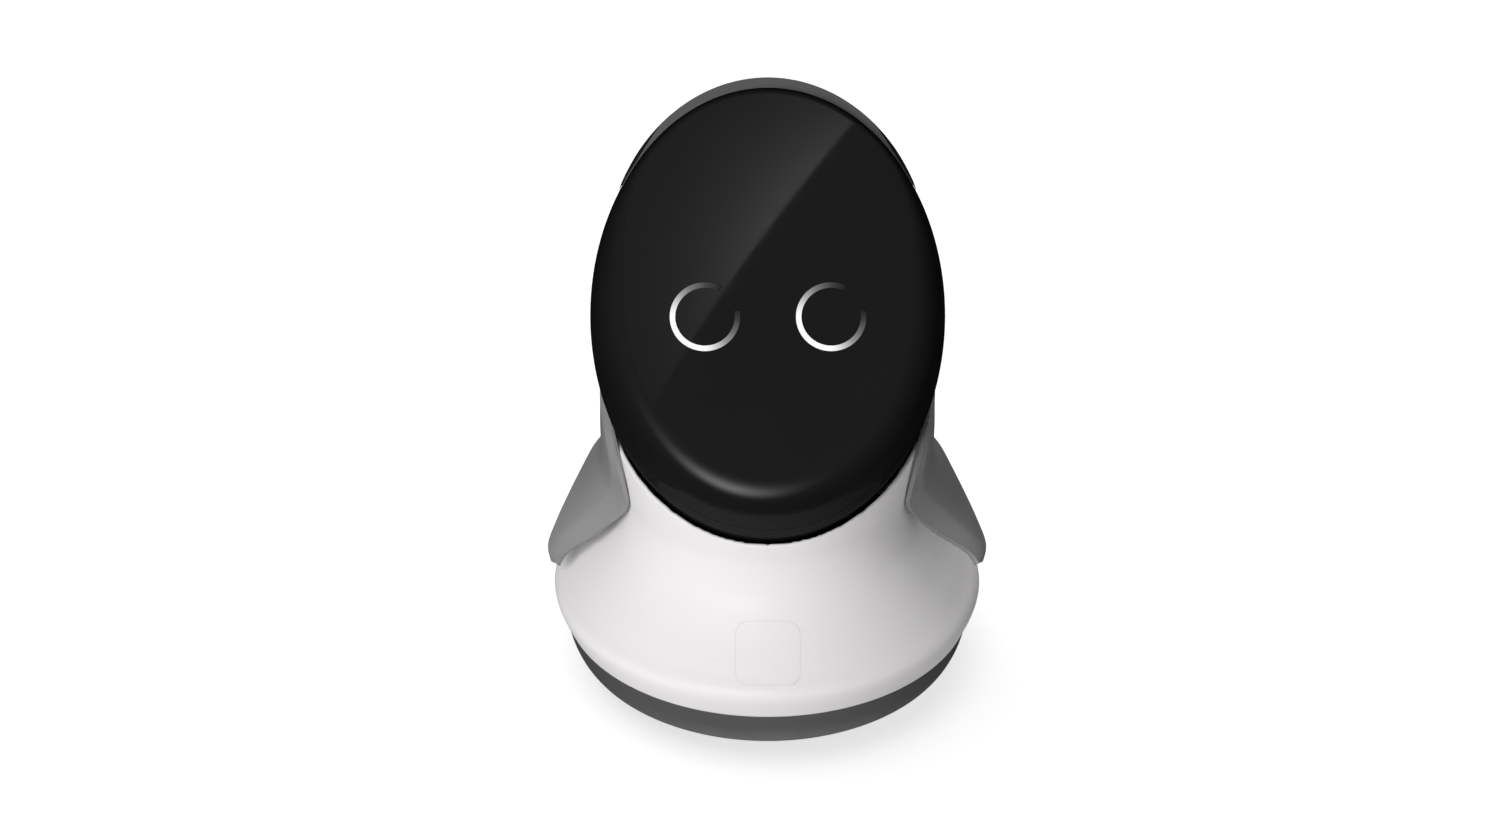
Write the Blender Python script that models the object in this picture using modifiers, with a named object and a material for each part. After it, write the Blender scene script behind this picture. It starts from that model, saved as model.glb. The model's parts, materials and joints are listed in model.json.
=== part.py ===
"""Home companion robot: a bell body on two hidden drive wheels, with a nodding oval head.

The robot faces -Y, its own left side is at +X and it stands on z = 0. Metres throughout.
"""
import math

import bmesh
import bpy
from mathutils import Matrix, Vector
from mathutils.geometry import interpolate_bezier

# Whole robot
BASE_RADIUS = 0.150          # widest place of the skirt
WALL = 0.003                 # moulded shells
GAP = 0.0003                 # between pieces that touch
SEGMENTS = 40                # around the large turned shells
WHEEL_SEGMENTS = 32
SMALL_SEGMENTS = 20          # around small turned pieces
SCREW_SEGMENTS = 12

# Bowl and deck
SEAM_RADIUS, SEAM_Z = 0.1429, 0.0371
FLOOR_RADIUS, FLOOR_Z = 0.1249, 0.004
BOSS_X, BOSS_Y, BOSS_RADIUS, BOSS_BORE = 0.070, 0.075, 0.005, 0.0019
DECK_RADIUS, DECK_Z, DECK_THICKNESS = 0.140, 0.050, 0.003
CABLE_HOLE_Y, CABLE_HOLE_RADIUS = 0.040, 0.009
SCREW_HEAD, SCREW_SHANK, SCREW_LENGTH = 0.0038, 0.0015, 0.010

# Pieces let into the floor, as half width or (front, rear)
DOOR_HALF, DOOR_Y = 0.050, (0.017, 0.074)
BATTERY_HALF, BATTERY_Y, BATTERY_TOP = 0.045, (0.020, 0.071), 0.038
CONTACT_X, CONTACT_HALF, CONTACT_Y = 0.034, 0.009, (0.092, 0.099)
SENSOR_X, SENSOR_HALF, SENSOR_Y, SENSOR_RISE = 0.045, 0.008, (-0.103, -0.095), 0.004
CUTTER_EXTRA = 0.01          # how far a cutter runs past a wall

# Drive wheels
WHEEL_RADIUS, WHEEL_WIDTH, WHEEL_X = 0.033, 0.020, 0.100
RIM_RADIUS, SHAFT_RADIUS = 0.025, 0.003
WHEEL_CLEARANCE = 0.0035
GEARBOX_RADIUS, GEARBOX_X, GEARBOX_LENGTH = 0.0125, 0.062, 0.0227
MOTOR_RADIUS, MOTOR_LENGTH = 0.012, 0.032
BRACKET_X, BRACKET_THICKNESS, BRACKET_HALF = 0.085, 0.003, 0.016

# Casters
CASTER_Y, CASTER_RADIUS, CASTER_TRAIL, CASTER_WIDTH = 0.098, 0.011, 0.006, 0.008
CASTER_HOLE_RADIUS = 0.0205
STEM_RADIUS, AXLE_RADIUS = 0.0032, 0.0015
FORK_LOW, FORK_HIGH, CHEEK_IN, CHEEK_OUT = 0.0235, 0.0260, 0.0050, 0.0070

# Skirt and neck, as (radius, height) from the seam up
SKIRT_CURVE = [
    (0.1430, SEAM_Z + GAP), (BASE_RADIUS, 0.058), (0.1390, 0.070), (0.1215, 0.087), (0.1055, 0.108),
    (0.1000, 0.130), (0.1024, 0.150), (0.1078, 0.185), (0.1092, 0.216),
]
HATCH_SIZE, HATCH_Z = 0.044, 0.080

# Head: a ball stretched along its face, cut flat by the face
PIVOT_Z = 0.2697
HEAD_RADIUS = 0.154          # in the plane of nodding
HEAD_HALF_WIDTH = 0.1205     # along X
HEAD_REAR_DEPTH = 0.145      # from the pivot straight back from the face
FACE_TILT = math.radians(47) # turn of the face about X, from lying flat and facing up
FACE_HEIGHT = 0.057          # flat face above the pivot, along its normal
# the face's shoulder at the chin and sides, and at the top edge: radius where it starts, height
# where it meets the ball, and how far it runs straight on from both ends
SHOULDER_LOW, SHOULDER_HIGH = (0.1220, 0.044, 0.017, 0.006), (0.1405, 0.0555, 0.0018, 0.0007)
SHOULDER_TO = 0.75           # share of the way from the middle to the top where it is crisp
LENS_BACK = 0.024            # seam between the face and the rear shell
LENS_WALL = 0.0028
SOCKET_CLEARANCE = 0.0015

# Eyes, on the face
EYE_X, EYE_DROP = 0.042, 0.0135
EYE_INNER, EYE_OUTER, EYE_DEPTH = 0.0198, 0.0234, 0.0010
EYE_START, EYE_END = math.radians(62), math.radians(370)

# Crown strip over the top of the face
CROWN_SPREAD = math.radians(57)
CROWN_THICKNESS, CROWN_TIP = 0.0070, 0.0009
CROWN_FRONT, CROWN_BACK = 0.0455, 0.018
CROWN_LEAN = 0.4             # share of its thickness lost towards the back

# Rear shell and side fins
REAR_CURVE = [(0.1150, 0.216), (0.1140, 0.200), (0.1135, 0.170), (0.1145, 0.140), (0.1185, 0.106)]
REAR_WALL = 0.0026
FIN_REAR_Y = 0.0468
FIN_OUTER_WALL, FIN_INNER_WALL = 0.0024, 0.0016
BUTTON_RADIUS, BUTTON_Z = 0.007, 0.150

# Fin outer face, from the head's rim down to the tip: front edge, rear edge, and how far the
# middle of the row stands out of the straight line between them
FIN_ROWS = [
    ((0.1155, -0.0080, 0.2160), (0.1050, 0.0464, 0.2160), 0.0030),
    ((0.1140, -0.0178, 0.2060), (0.1050, 0.0464, 0.2060), 0.0050),
    ((0.1105, -0.0329, 0.1960), (0.1050, 0.0464, 0.1930), 0.0075),
    ((0.1078, -0.0400, 0.1840), (0.1052, 0.0464, 0.1800), 0.0090),
    ((0.1048, -0.0419, 0.1700), (0.1060, 0.0462, 0.1680), 0.0100),
    ((0.1026, -0.0422, 0.1590), (0.1090, 0.0460, 0.1585), 0.0096),
    ((0.1010, -0.0416, 0.1500), (0.1150, 0.0450, 0.1490), 0.0086),
    ((0.1000, -0.0405, 0.1420), (0.1229, 0.0400, 0.1400), 0.0076),
    ((0.1044, -0.0345, 0.1300), (0.1320, 0.0320, 0.1250), 0.0062),
    ((0.1160, -0.0250, 0.1140), (0.1404, 0.0220, 0.1112), 0.0045),
    ((0.1312, -0.0200, 0.0998), (0.1479, 0.0100, 0.0990), 0.0028),
    ((0.1432, -0.0177, 0.0882), (0.1541, -0.0020, 0.0860), 0.0012),
    ((0.1490, -0.0200, 0.0814), (0.1519, -0.0140, 0.0785), 0.0003),
]
FIN_COLUMNS = 6

# Circuit boards and speaker on the deck, boards as (left, right) and (front, rear)
BOARD_Z, BOARD_THICKNESS, POST_RADIUS = 0.0580, 0.0016, 0.003
MAIN_X, MAIN_Y, MAIN_INSET = (-0.050, 0.050), (-0.098, -0.036), 0.006
DRIVER_X, DRIVER_Y, DRIVER_INSET = (-0.035, 0.035), (0.052, 0.100), 0.005
SINK_X, SINK_Y, SINK_TOP = (-0.014, 0.014), (-0.080, -0.052), 0.0610
SPEAKER_Z = 0.088

# Neck post and tilt drive
MAST_HALF_X, MAST_HALF_Y, MAST_TOP = 0.015, 0.014, 0.235
MAST_WALL, FLANGE_X, FLANGE_Y, FLANGE_THICKNESS = 0.003, 0.028, (-0.024, 0.028), 0.004
YOKE_X, YOKE_THICKNESS, YOKE_TOP, YOKE_BORE = 0.028, 0.003, 0.283, 0.005
SERVO_HALF_Y, SERVO_LOW = 0.012, 0.243
HORN_RADIUS, HORN_X, HORN_THICKNESS = 0.016, 0.0315, 0.005
LUG_X, LUG_THICKNESS = 0.0368, 0.005
FRAME_RADIUS, FRAME_BACK, FRAME_FRONT = 0.146, 0.014, 0.018
LUG_HALF, WINDOW_HALF = 0.012, 0.06
MAST_SLOT = ((-0.036, -0.070, 0.100), (0.036, 0.046, 0.156))

# Inside the head, in the face's own axes
LED_X, LED_Y, LED_Z, LED_THICKNESS = 0.068, (-0.043, 0.017), 0.0490, 0.0016
LED_POST_X, LED_POST_Y = 0.054, (-0.036, 0.010)
CAMERA_Y, CAMERA_HALF, CAMERA_TOP, LENS_RADIUS, LENS_TOP = 0.096, 0.011, 0.045, 0.006, 0.0525

WHITE, GREY, BLACK = (0.84, 0.83, 0.82), (0.24, 0.24, 0.24), (0.010, 0.010, 0.011)
CHARCOAL, RUBBER, STEEL = (0.055, 0.055, 0.057), (0.02, 0.02, 0.02), (0.55, 0.56, 0.58)
BOARD, BRASS, LIGHT = (0.02, 0.10, 0.06), (0.75, 0.55, 0.25), (0.9, 0.9, 0.92)
WRAP, DARK_GREY = (0.03, 0.05, 0.12), (0.105, 0.105, 0.105)


# ---------------------------------------------------------------- tools

def clear_scene():
    for obj in list(bpy.data.objects):
        bpy.data.objects.remove(obj)


def material(name, colour, roughness=0.4, metallic=0.0):
    mat = bpy.data.materials.get(name) or bpy.data.materials.new(name)
    mat.use_nodes = True
    shader = mat.node_tree.nodes["Principled BSDF"]
    shader.inputs["Base Color"].default_value = (*colour, 1.0)
    shader.inputs["Roughness"].default_value = roughness
    shader.inputs["Metallic"].default_value = metallic
    return mat


def new_object(name, mesh):
    obj = bpy.data.objects.new(name, mesh)
    PARTS.objects.link(obj)
    return obj


def settle(obj):
    """Turn the object's modifiers into plain mesh."""
    bpy.context.view_layer.update()
    graph = bpy.context.evaluated_depsgraph_get()
    mesh = bpy.data.meshes.new_from_object(obj.evaluated_get(graph))
    obj.modifiers.clear()
    obj.data = mesh
    return obj


def finish(obj, colour, roughness=0.4, metallic=0.0):
    """Give a part its own material and smooth its round sides."""
    obj.data.materials.clear()
    obj.data.materials.append(material(obj.name, colour, roughness, metallic))
    obj.data.shade_smooth()
    obj.data.set_sharp_from_angle(angle=math.radians(32))
    return obj


def place(obj, location=(0, 0, 0), rotation=(0, 0, 0), parent=None):
    obj.location = location
    obj.rotation_euler = rotation
    obj.parent = parent
    return obj


def turned(name, outline, closed=False, segments=SEGMENTS):
    """A solid turned about Z; the outline of (radius, height) runs down its outer side."""
    mesh = bpy.data.meshes.new(name)
    edges = [(i, i + 1) for i in range(len(outline) - 1)]
    if closed:
        edges.append((len(outline) - 1, 0))
    mesh.from_pydata([(r, 0, z) for r, z in outline], edges, [])
    obj = new_object(name, mesh)
    screw = obj.modifiers.new("turn", "SCREW")
    screw.steps = screw.render_steps = segments
    screw.use_merge_vertices = True
    screw.merge_threshold = 0.00001
    return settle(obj)


def block(name, low, high, bevel=0.0):
    """A box between two corners, with its edges rounded."""
    low, high = Vector(low), Vector(high)
    mesh = bpy.data.meshes.new(name)
    bm = bmesh.new()
    bmesh.ops.create_cube(bm, size=1.0)
    bmesh.ops.scale(bm, vec=high - low, verts=bm.verts)
    bmesh.ops.translate(bm, vec=(low + high) / 2, verts=bm.verts)
    if bevel:
        bmesh.ops.bevel(bm, geom=bm.edges, offset=bevel, segments=2, affect="EDGES", profile=0.5)
    bm.to_mesh(mesh)
    bm.free()
    return new_object(name, mesh)


def rod(name, radius, start, end, segments=SMALL_SEGMENTS):
    """A cylinder from one point to another."""
    start, end = Vector(start), Vector(end)
    along = end - start
    turn = Vector((0, 0, 1)).rotation_difference(along).to_matrix().to_4x4()
    mesh = bpy.data.meshes.new(name)
    bm = bmesh.new()
    bmesh.ops.create_cone(bm, cap_ends=True, segments=segments, radius1=radius, radius2=radius,
                          depth=along.length, matrix=Matrix.Translation((start + end) / 2) @ turn)
    bm.to_mesh(mesh)
    bm.free()
    return new_object(name, mesh)


def combine(obj, others, operation):
    """Cut, join or intersect an object with others, and use them up."""
    for other in others:
        tool = obj.modifiers.new(operation, "BOOLEAN")
        tool.operation = operation
        tool.solver = "EXACT"
        tool.object = other
        settle(obj)
        bpy.data.objects.remove(other)
    return obj


def cut(obj, *others):
    return combine(obj, others, "DIFFERENCE")


def join(obj, *others):
    return combine(obj, others, "UNION")


def copy_of(obj, name):
    return new_object(name, obj.data.copy())


def smooth_curve(points, steps=2):
    """Catmull-Rom curve through (radius, height) points."""
    ends = [points[0]] + list(points) + [points[-1]]
    curve = [points[0]]
    for i in range(1, len(ends) - 2):
        p0, p1, p2, p3 = (Vector(p) for p in ends[i - 1:i + 3])
        for k in range(1, steps + 1):
            t = k / steps
            point = 0.5 * (2 * p1 + (p2 - p0) * t + (2 * p0 - 5 * p1 + 4 * p2 - p3) * t * t
                           + (3 * p1 - p0 - 3 * p2 + p3) * t ** 3)
            curve.append(tuple(point))
    return curve


def inset(points, distance):
    """The same run of points moved towards the inside of an outline that runs downwards."""
    moved = []
    for i, point in enumerate(points):
        before, after = Vector(points[max(i - 1, 0)]), Vector(points[min(i + 1, len(points) - 1)])
        along = (after - before).normalized()
        moved.append((point[0] + along.y * distance, point[1] - along.x * distance))
    return moved


def radius_at(curve, height):
    """Radius of a turned curve at a height."""
    for (r0, z0), (r1, z1) in zip(curve, curve[1:]):
        if min(z0, z1) <= height <= max(z0, z1):
            return r0 + (r1 - r0) * (height - z0) / (z1 - z0)
    return curve[-1][0]


# ---------------------------------------------------------------- base

def base_bowl():
    outer = [(SEAM_RADIUS, SEAM_Z), (0.1392, 0.022), (0.1333, 0.011), (FLOOR_RADIUS, FLOOR_Z)]
    inner = inset(outer, WALL)
    outer = smooth_curve(outer)
    inner[0] = (SEAM_RADIUS - WALL, SEAM_Z)
    inner[-1] = (FLOOR_RADIUS - WALL, FLOOR_Z + WALL)
    bowl = turned("base_bowl", [(0, FLOOR_Z + WALL)] + inner[::-1] + outer + [(0, FLOOR_Z)])
    for x in (-BOSS_X, BOSS_X):
        for y in (-BOSS_Y, BOSS_Y):
            join(bowl, rod("boss", BOSS_RADIUS, (x, y, FLOOR_Z + WALL / 2), (x, y, DECK_Z - GAP)))
            cut(bowl, rod("boss_hole", BOSS_BORE, (x, y, DECK_Z - 0.012), (x, y, DECK_Z + 0.01)))
    for side in (-1, 1):
        cut(bowl, wheel_slot("slot", side, FLOOR_Z - 0.01, FLOOR_Z + 0.02))
        cut(bowl, rod("caster_hole", CASTER_HOLE_RADIUS, (0, side * CASTER_Y, 0),
                      (0, side * CASTER_Y, 0.02)))
        cut(bowl, contact("contact_hole", side, GAP))
        cut(bowl, sensor("sensor_hole", side, GAP))
    cut(bowl, battery_door("door_hole", GAP))
    return finish(bowl, CHARCOAL, 0.42)


def wheel_slot(name, side, low, high):
    half = WHEEL_WIDTH / 2 + 0.0015
    reach = WHEEL_RADIUS + WHEEL_CLEARANCE
    x0, x1 = sorted((side * (WHEEL_X - half), side * (WHEEL_X + half)))
    return block(name, (x0, -reach, low), (x1, reach, high))


def floor_piece(name, x, half, rows, rise, grow):
    """A flat piece in the floor; with grow it is the cutter for its own opening."""
    below = CUTTER_EXTRA if grow else 0.0
    return block(name, (x - half - grow, rows[0] - grow, FLOOR_Z - below),
                 (x + half + grow, rows[1] + grow, FLOOR_Z + WALL + rise + below))


def battery_door(name, grow=0.0):
    return floor_piece(name, 0, DOOR_HALF, DOOR_Y, 0, grow)


def contact(name, side, grow=0.0):
    return floor_piece(name, side * CONTACT_X, CONTACT_HALF, CONTACT_Y, 0, grow)


def sensor(name, side, grow=0.0):
    return floor_piece(name, side * SENSOR_X, SENSOR_HALF, SENSOR_Y, SENSOR_RISE, grow)


def floor_pieces():
    finish(battery_door("battery_door"), CHARCOAL, 0.5)
    battery = block("battery_pack", (-BATTERY_HALF, BATTERY_Y[0], FLOOR_Z + WALL + 2 * GAP),
                    (BATTERY_HALF, BATTERY_Y[1], BATTERY_TOP), 0.002)
    finish(battery, WRAP, 0.5)
    for side, word in ((1, "left"), (-1, "right")):
        finish(contact("charge_contact_" + word, side), BRASS, 0.25, 1.0)
        finish(sensor("cliff_sensor_" + word, side), BLACK, 0.15)


def deck_plate():
    deck = turned("deck_plate", [(0, DECK_Z + DECK_THICKNESS), (DECK_RADIUS, DECK_Z + DECK_THICKNESS),
                                 (DECK_RADIUS, DECK_Z), (0, DECK_Z)])
    for side in (-1, 1):
        cut(deck, wheel_slot("slot", side, DECK_Z - 0.01, DECK_Z + 0.02))
        for y in (-BOSS_Y, BOSS_Y):
            cut(deck, rod("hole", BOSS_BORE, (side * BOSS_X, y, 0.04), (side * BOSS_X, y, 0.06)))
    cut(deck, rod("cable_hole", CABLE_HOLE_RADIUS, (0, CABLE_HOLE_Y, 0.04), (0, CABLE_HOLE_Y, 0.06)))
    finish(deck, CHARCOAL, 0.6)
    top = DECK_Z + DECK_THICKNESS + GAP
    corners = [(x, y) for x in (-BOSS_X, BOSS_X) for y in (-BOSS_Y, BOSS_Y)]
    for number, (x, y) in enumerate(corners, 1):
        screw = turned("deck_screw_%d" % number,
                       [(0, 0.0022), (SCREW_HEAD, 0.0012), (SCREW_HEAD, 0), (SCREW_SHANK, 0),
                        (SCREW_SHANK, -SCREW_LENGTH), (0, -SCREW_LENGTH)], segments=SCREW_SEGMENTS)
        finish(place(screw, (x, y, top)), STEEL, 0.3, 1.0)


def drive_wheel(side, word):
    """Rim, tyre and shaft, turned about the axle and laid along X."""
    half, web, hub, seat = 0.008, 0.002, 0.008, 0.021
    bore = SHAFT_RADIUS + GAP
    rim = turned("drive_wheel_" + word,
                 [(RIM_RADIUS, half), (RIM_RADIUS, -half), (seat, -half), (seat, -web), (hub, -web),
                  (hub, -half), (bore, -half), (bore, half), (hub, half), (hub, web), (seat, web),
                  (seat, half)], closed=True, segments=SMALL_SEGMENTS)
    wide, shoulder = WHEEL_WIDTH / 2, 0.003
    tyre = turned("drive_tyre_" + word,
                  [(WHEEL_RADIUS - shoulder, wide), (WHEEL_RADIUS, wide - shoulder),
                   (WHEEL_RADIUS, shoulder - wide), (WHEEL_RADIUS - shoulder, -wide),
                   (RIM_RADIUS + GAP, -wide), (RIM_RADIUS + GAP, wide)], closed=True,
                  segments=WHEEL_SEGMENTS)
    inner_end = BRACKET_X - WHEEL_X
    shaft = rod("wheel_shaft_" + word, SHAFT_RADIUS, (0, 0, inner_end), (0, 0, half))
    for piece, look in ((rim, (CHARCOAL, 0.5, 0)), (tyre, (RUBBER, 0.8, 0)), (shaft, (STEEL, 0.3, 1))):
        place(piece, (side * WHEEL_X, 0, WHEEL_RADIUS), (0, side * math.pi / 2, 0))
        finish(piece, *look)


def gearmotor(side, word):
    z = WHEEL_RADIUS
    far = GEARBOX_X - MOTOR_LENGTH
    gearbox = rod("gearbox_" + word, GEARBOX_RADIUS, (side * GEARBOX_X, 0, z),
                  (side * (GEARBOX_X + GEARBOX_LENGTH - GAP), 0, z))
    finish(gearbox, STEEL, 0.35, 1.0)
    motor = rod("drive_motor_" + word, MOTOR_RADIUS, (side * far, 0, z), (side * (GEARBOX_X - GAP), 0, z))
    join(motor, rod("end_cap", 0.004, (side * (far - 0.003), 0, z), (side * (far + 0.001), 0, z)))
    finish(motor, STEEL, 0.4, 1.0)
    x0, x1 = sorted((side * BRACKET_X, side * (BRACKET_X + BRACKET_THICKNESS)))
    f0, f1 = sorted((side * GEARBOX_X, side * (BRACKET_X + BRACKET_THICKNESS)))
    floor = FLOOR_Z + WALL + GAP
    bracket = block("motor_bracket_" + word, (x0, -BRACKET_HALF, floor), (x1, BRACKET_HALF, 0.048))
    join(bracket, block("foot", (f0, -BRACKET_HALF, floor), (f1, BRACKET_HALF, floor + BRACKET_THICKNESS)))
    cut(bracket, rod("shaft_hole", SHAFT_RADIUS + 0.001, (x0 - 0.01, 0, z), (x1 + 0.01, 0, z)))
    finish(bracket, STEEL, 0.45, 1.0)


def caster(side, word):
    """Socket under the deck, swivelling fork, axle and small wheel; the wheel trails behind."""
    socket = turned("caster_socket_" + word,
                    [(0, DECK_Z - GAP), (0.012, DECK_Z - GAP), (0.012, FORK_HIGH + GAP),
                     (STEM_RADIUS + GAP, FORK_HIGH + GAP), (STEM_RADIUS + GAP, 0.044), (0, 0.044)],
                    segments=SMALL_SEGMENTS)
    finish(place(socket, (0, side * CASTER_Y, 0)), CHARCOAL, 0.5)
    fork = turned("caster_fork_" + word,
                  [(0, 0.043), (STEM_RADIUS, 0.043), (STEM_RADIUS, FORK_HIGH), (0.010, FORK_HIGH),
                   (0.010, FORK_LOW), (0, FORK_LOW)], segments=SMALL_SEGMENTS)
    for x0, x1 in ((-CHEEK_OUT, -CHEEK_IN), (CHEEK_IN, CHEEK_OUT)):
        join(fork, block("cheek", (x0, -0.004, 0.0070), (x1, CASTER_TRAIL + 0.006, FORK_LOW + 0.001)))
    cut(fork, rod("axle_hole", AXLE_RADIUS + GAP, (-0.02, CASTER_TRAIL, CASTER_RADIUS),
                  (0.02, CASTER_TRAIL, CASTER_RADIUS)))
    finish(place(fork, (0, side * CASTER_Y, 0)), STEEL, 0.4, 1.0)
    hub = (0, side * CASTER_Y + CASTER_TRAIL, CASTER_RADIUS)
    wide, shoulder, bore = CASTER_WIDTH / 2, 0.0012, AXLE_RADIUS + GAP
    wheel = turned("caster_wheel_" + word,
                   [(CASTER_RADIUS - shoulder, wide), (CASTER_RADIUS, wide - shoulder),
                    (CASTER_RADIUS, shoulder - wide), (CASTER_RADIUS - shoulder, -wide),
                    (bore, -wide), (bore, wide)], closed=True, segments=SMALL_SEGMENTS)
    finish(place(wheel, hub, (0, math.pi / 2, 0)), CHARCOAL, 0.5)
    axle = rod("caster_axle_" + word, AXLE_RADIUS, (0, 0, -CHEEK_OUT), (0, 0, CHEEK_OUT))
    finish(place(axle, hub, (0, math.pi / 2, 0)), STEEL, 0.3, 1.0)


# ---------------------------------------------------------------- body

def head_socket_cutter(name):
    """The space the nodding head sweeps, a little larger than the head."""
    front = HEAD_RADIUS + SOCKET_CLEARANCE
    rear = HEAD_REAR_DEPTH + 0.004
    steps = 24
    outline = []
    for k in range(steps + 1):
        angle = math.pi * k / steps
        depth = front if angle < math.pi / 2 else rear
        outline.append((front * math.sin(angle), depth * math.cos(angle)))
    outline[0], outline[-1] = (0, front), (0, -rear)
    cutter = turned(name, outline)
    cutter.data.transform(Matrix.Scale((HEAD_HALF_WIDTH + SOCKET_CLEARANCE) / front, 4, (1, 0, 0)))
    return place(cutter, (0, 0, PIVOT_Z), (FACE_TILT, 0, 0))


def skirt_and_hatch():
    outer = smooth_curve(SKIRT_CURVE)[::-1]
    inner = inset(outer, WALL)
    inner[0] = (outer[0][0] - WALL, outer[0][1])
    inner[-1] = (outer[-1][0] - WALL, outer[-1][1])
    skirt = turned("skirt_shell", outer + inner[::-1], closed=True)
    cut(skirt, head_socket_cutter("socket"))
    hatch = copy_of(skirt, "front_hatch")
    cut(skirt, hatch_prism("opening", HATCH_SIZE / 2 + GAP, outer))
    combine(hatch, [hatch_prism("outline", HATCH_SIZE / 2, outer)], "INTERSECT")
    finish(skirt, WHITE, 0.12)
    finish(hatch, WHITE, 0.12)


def body_cutter(name):
    """The skirt and neck as a solid, a gap larger than they are."""
    outer = [(r + 2 * GAP, z) for r, z in smooth_curve(SKIRT_CURVE)[::-1]]
    top, bottom = outer[0][1], outer[-1][1]
    return turned(name, [(0, top)] + outer + [(0, bottom)])


def hatch_prism(name, half, curve):
    """A rounded square post that stands straight out of the skirt's slope."""
    radius = radius_at(curve, HATCH_Z)
    slope = (radius_at(curve, HATCH_Z - 0.01) - radius_at(curve, HATCH_Z + 0.01)) / 0.02
    corner = 0.009
    mesh = bpy.data.meshes.new(name)
    bm = bmesh.new()
    bmesh.ops.create_cube(bm, size=1.0)
    bmesh.ops.scale(bm, vec=(2 * half, 2 * half, 0.030), verts=bm.verts)
    posts = [e for e in bm.edges if abs(e.verts[0].co.z - e.verts[1].co.z) > 0.01]
    bmesh.ops.bevel(bm, geom=posts, offset=corner, segments=4, affect="EDGES", profile=0.5)
    bm.to_mesh(mesh)
    bm.free()
    tilt = math.pi / 2 - math.atan(slope)
    return place(new_object(name, mesh), (0, -radius, HATCH_Z), (tilt, 0, 0))


def rear_shell():
    outer = REAR_CURVE
    inner = inset(outer, REAR_WALL)
    inner[0] = (outer[0][0] - REAR_WALL, outer[0][1])
    inner[-1] = (outer[-1][0] - REAR_WALL, outer[-1][1])
    shell = turned("rear_shell", outer + inner[::-1], closed=True)
    cut(shell, block("front_half", (-0.2, -0.2, 0), (0.2, FIN_REAR_Y, 0.3)))
    cut(shell, head_socket_cutter("socket"))
    cut(shell, rod("button_hole", BUTTON_RADIUS + GAP, (0, 0.10, BUTTON_Z), (0, 0.13, BUTTON_Z)))
    for row in range(5):
        z = 0.116 + 0.0045 * row
        cut(shell, block("grille_slot", (-0.022, 0.09, z), (0.022, 0.14, z + 0.0022)))
    finish(shell, GREY, 0.35)
    surface = radius_at(outer, BUTTON_Z)
    button = rod("power_button", BUTTON_RADIUS, (0, -0.0040, 0), (0, 0.0004, 0))
    finish(place(button, (0, surface, BUTTON_Z)), CHARCOAL, 0.4)
    body = radius_at(smooth_curve(SKIRT_CURVE), BUTTON_Z)
    finish(block("button_switch", (-0.004, body + 0.0012, BUTTON_Z - 0.004),
                 (0.004, surface - 0.0055, BUTTON_Z + 0.004)), CHARCOAL, 0.5)


def fin_surface(name, depth, side):
    """The fin's curved face, moved in towards the body by a depth."""
    mesh = bpy.data.meshes.new(name)
    bm = bmesh.new()
    rows = []
    for front, rear, bulge in FIN_ROWS:
        front, rear = Vector(front), Vector(rear)
        chord = rear - front
        out = Vector((chord.y, -chord.x, 0)).normalized()
        row = []
        for k in range(FIN_COLUMNS):
            u = k / (FIN_COLUMNS - 1)
            point = front + chord * u + out * bulge * math.sin(math.pi * u)
            row.append(bm.verts.new((side * point.x, point.y, point.z)))
        rows.append(row)
    for upper, lower in zip(rows, rows[1:]):
        for k in range(FIN_COLUMNS - 1):
            face = [upper[k], upper[k + 1], lower[k + 1], lower[k]]
            bm.faces.new(face[::-1] if side > 0 else face)
    bm.normal_update()
    for vert in bm.verts:
        vert.co -= vert.normal * depth
    bm.to_mesh(mesh)
    bm.free()
    return new_object(name, mesh)


def fin(side, word):
    """Two half shells with a parting line between them."""
    layers = (("fin_outer_", 0.0, FIN_OUTER_WALL), ("fin_inner_", FIN_OUTER_WALL + 3 * GAP, FIN_INNER_WALL))
    for prefix, depth, wall in layers:
        shell = fin_surface(prefix + word, depth, side)
        skin = shell.modifiers.new("wall", "SOLIDIFY")
        skin.thickness = wall
        skin.offset = -1
        settle(shell)
        cut(shell, head_socket_cutter("socket"), body_cutter("body"))
        finish(shell, GREY, 0.35)


# ---------------------------------------------------------------- inside the body

def electronics():
    board = board_on_posts("main_board", MAIN_X, MAIN_Y, MAIN_INSET)
    middle = BOARD_Z + BOARD_THICKNESS / 2
    join(board, block("heat_sink", (SINK_X[0], SINK_Y[0], middle), (SINK_X[1], SINK_Y[1], SINK_TOP)))
    finish(board, BOARD, 0.5)
    finish(board_on_posts("motor_driver_board", DRIVER_X, DRIVER_Y, DRIVER_INSET), BOARD, 0.5)
    speaker = turned("speaker", [(0, 0.022), (0.010, 0.018), (0.020, 0.024), (0.024, 0.024), (0.024, 0.021),
                                 (0.013, 0.012), (0.013, 0), (0, 0)], segments=SMALL_SEGMENTS)
    finish(place(speaker, (0, -MAST_HALF_Y - GAP, SPEAKER_Z), (math.pi / 2, 0, 0)), BLACK, 0.6)


def board_on_posts(name, across, along, inset_by):
    """A circuit board that stands on four posts on the deck."""
    floor = DECK_Z + DECK_THICKNESS + GAP
    board = block(name, (across[0], along[0], BOARD_Z), (across[1], along[1], BOARD_Z + BOARD_THICKNESS))
    for x in (across[0] + inset_by, across[1] - inset_by):
        for y in (along[0] + inset_by, along[1] - inset_by):
            join(board, rod("post", POST_RADIUS, (x, y, floor), (x, y, BOARD_Z + BOARD_THICKNESS / 3),
                            SCREW_SEGMENTS))
    return board


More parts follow.
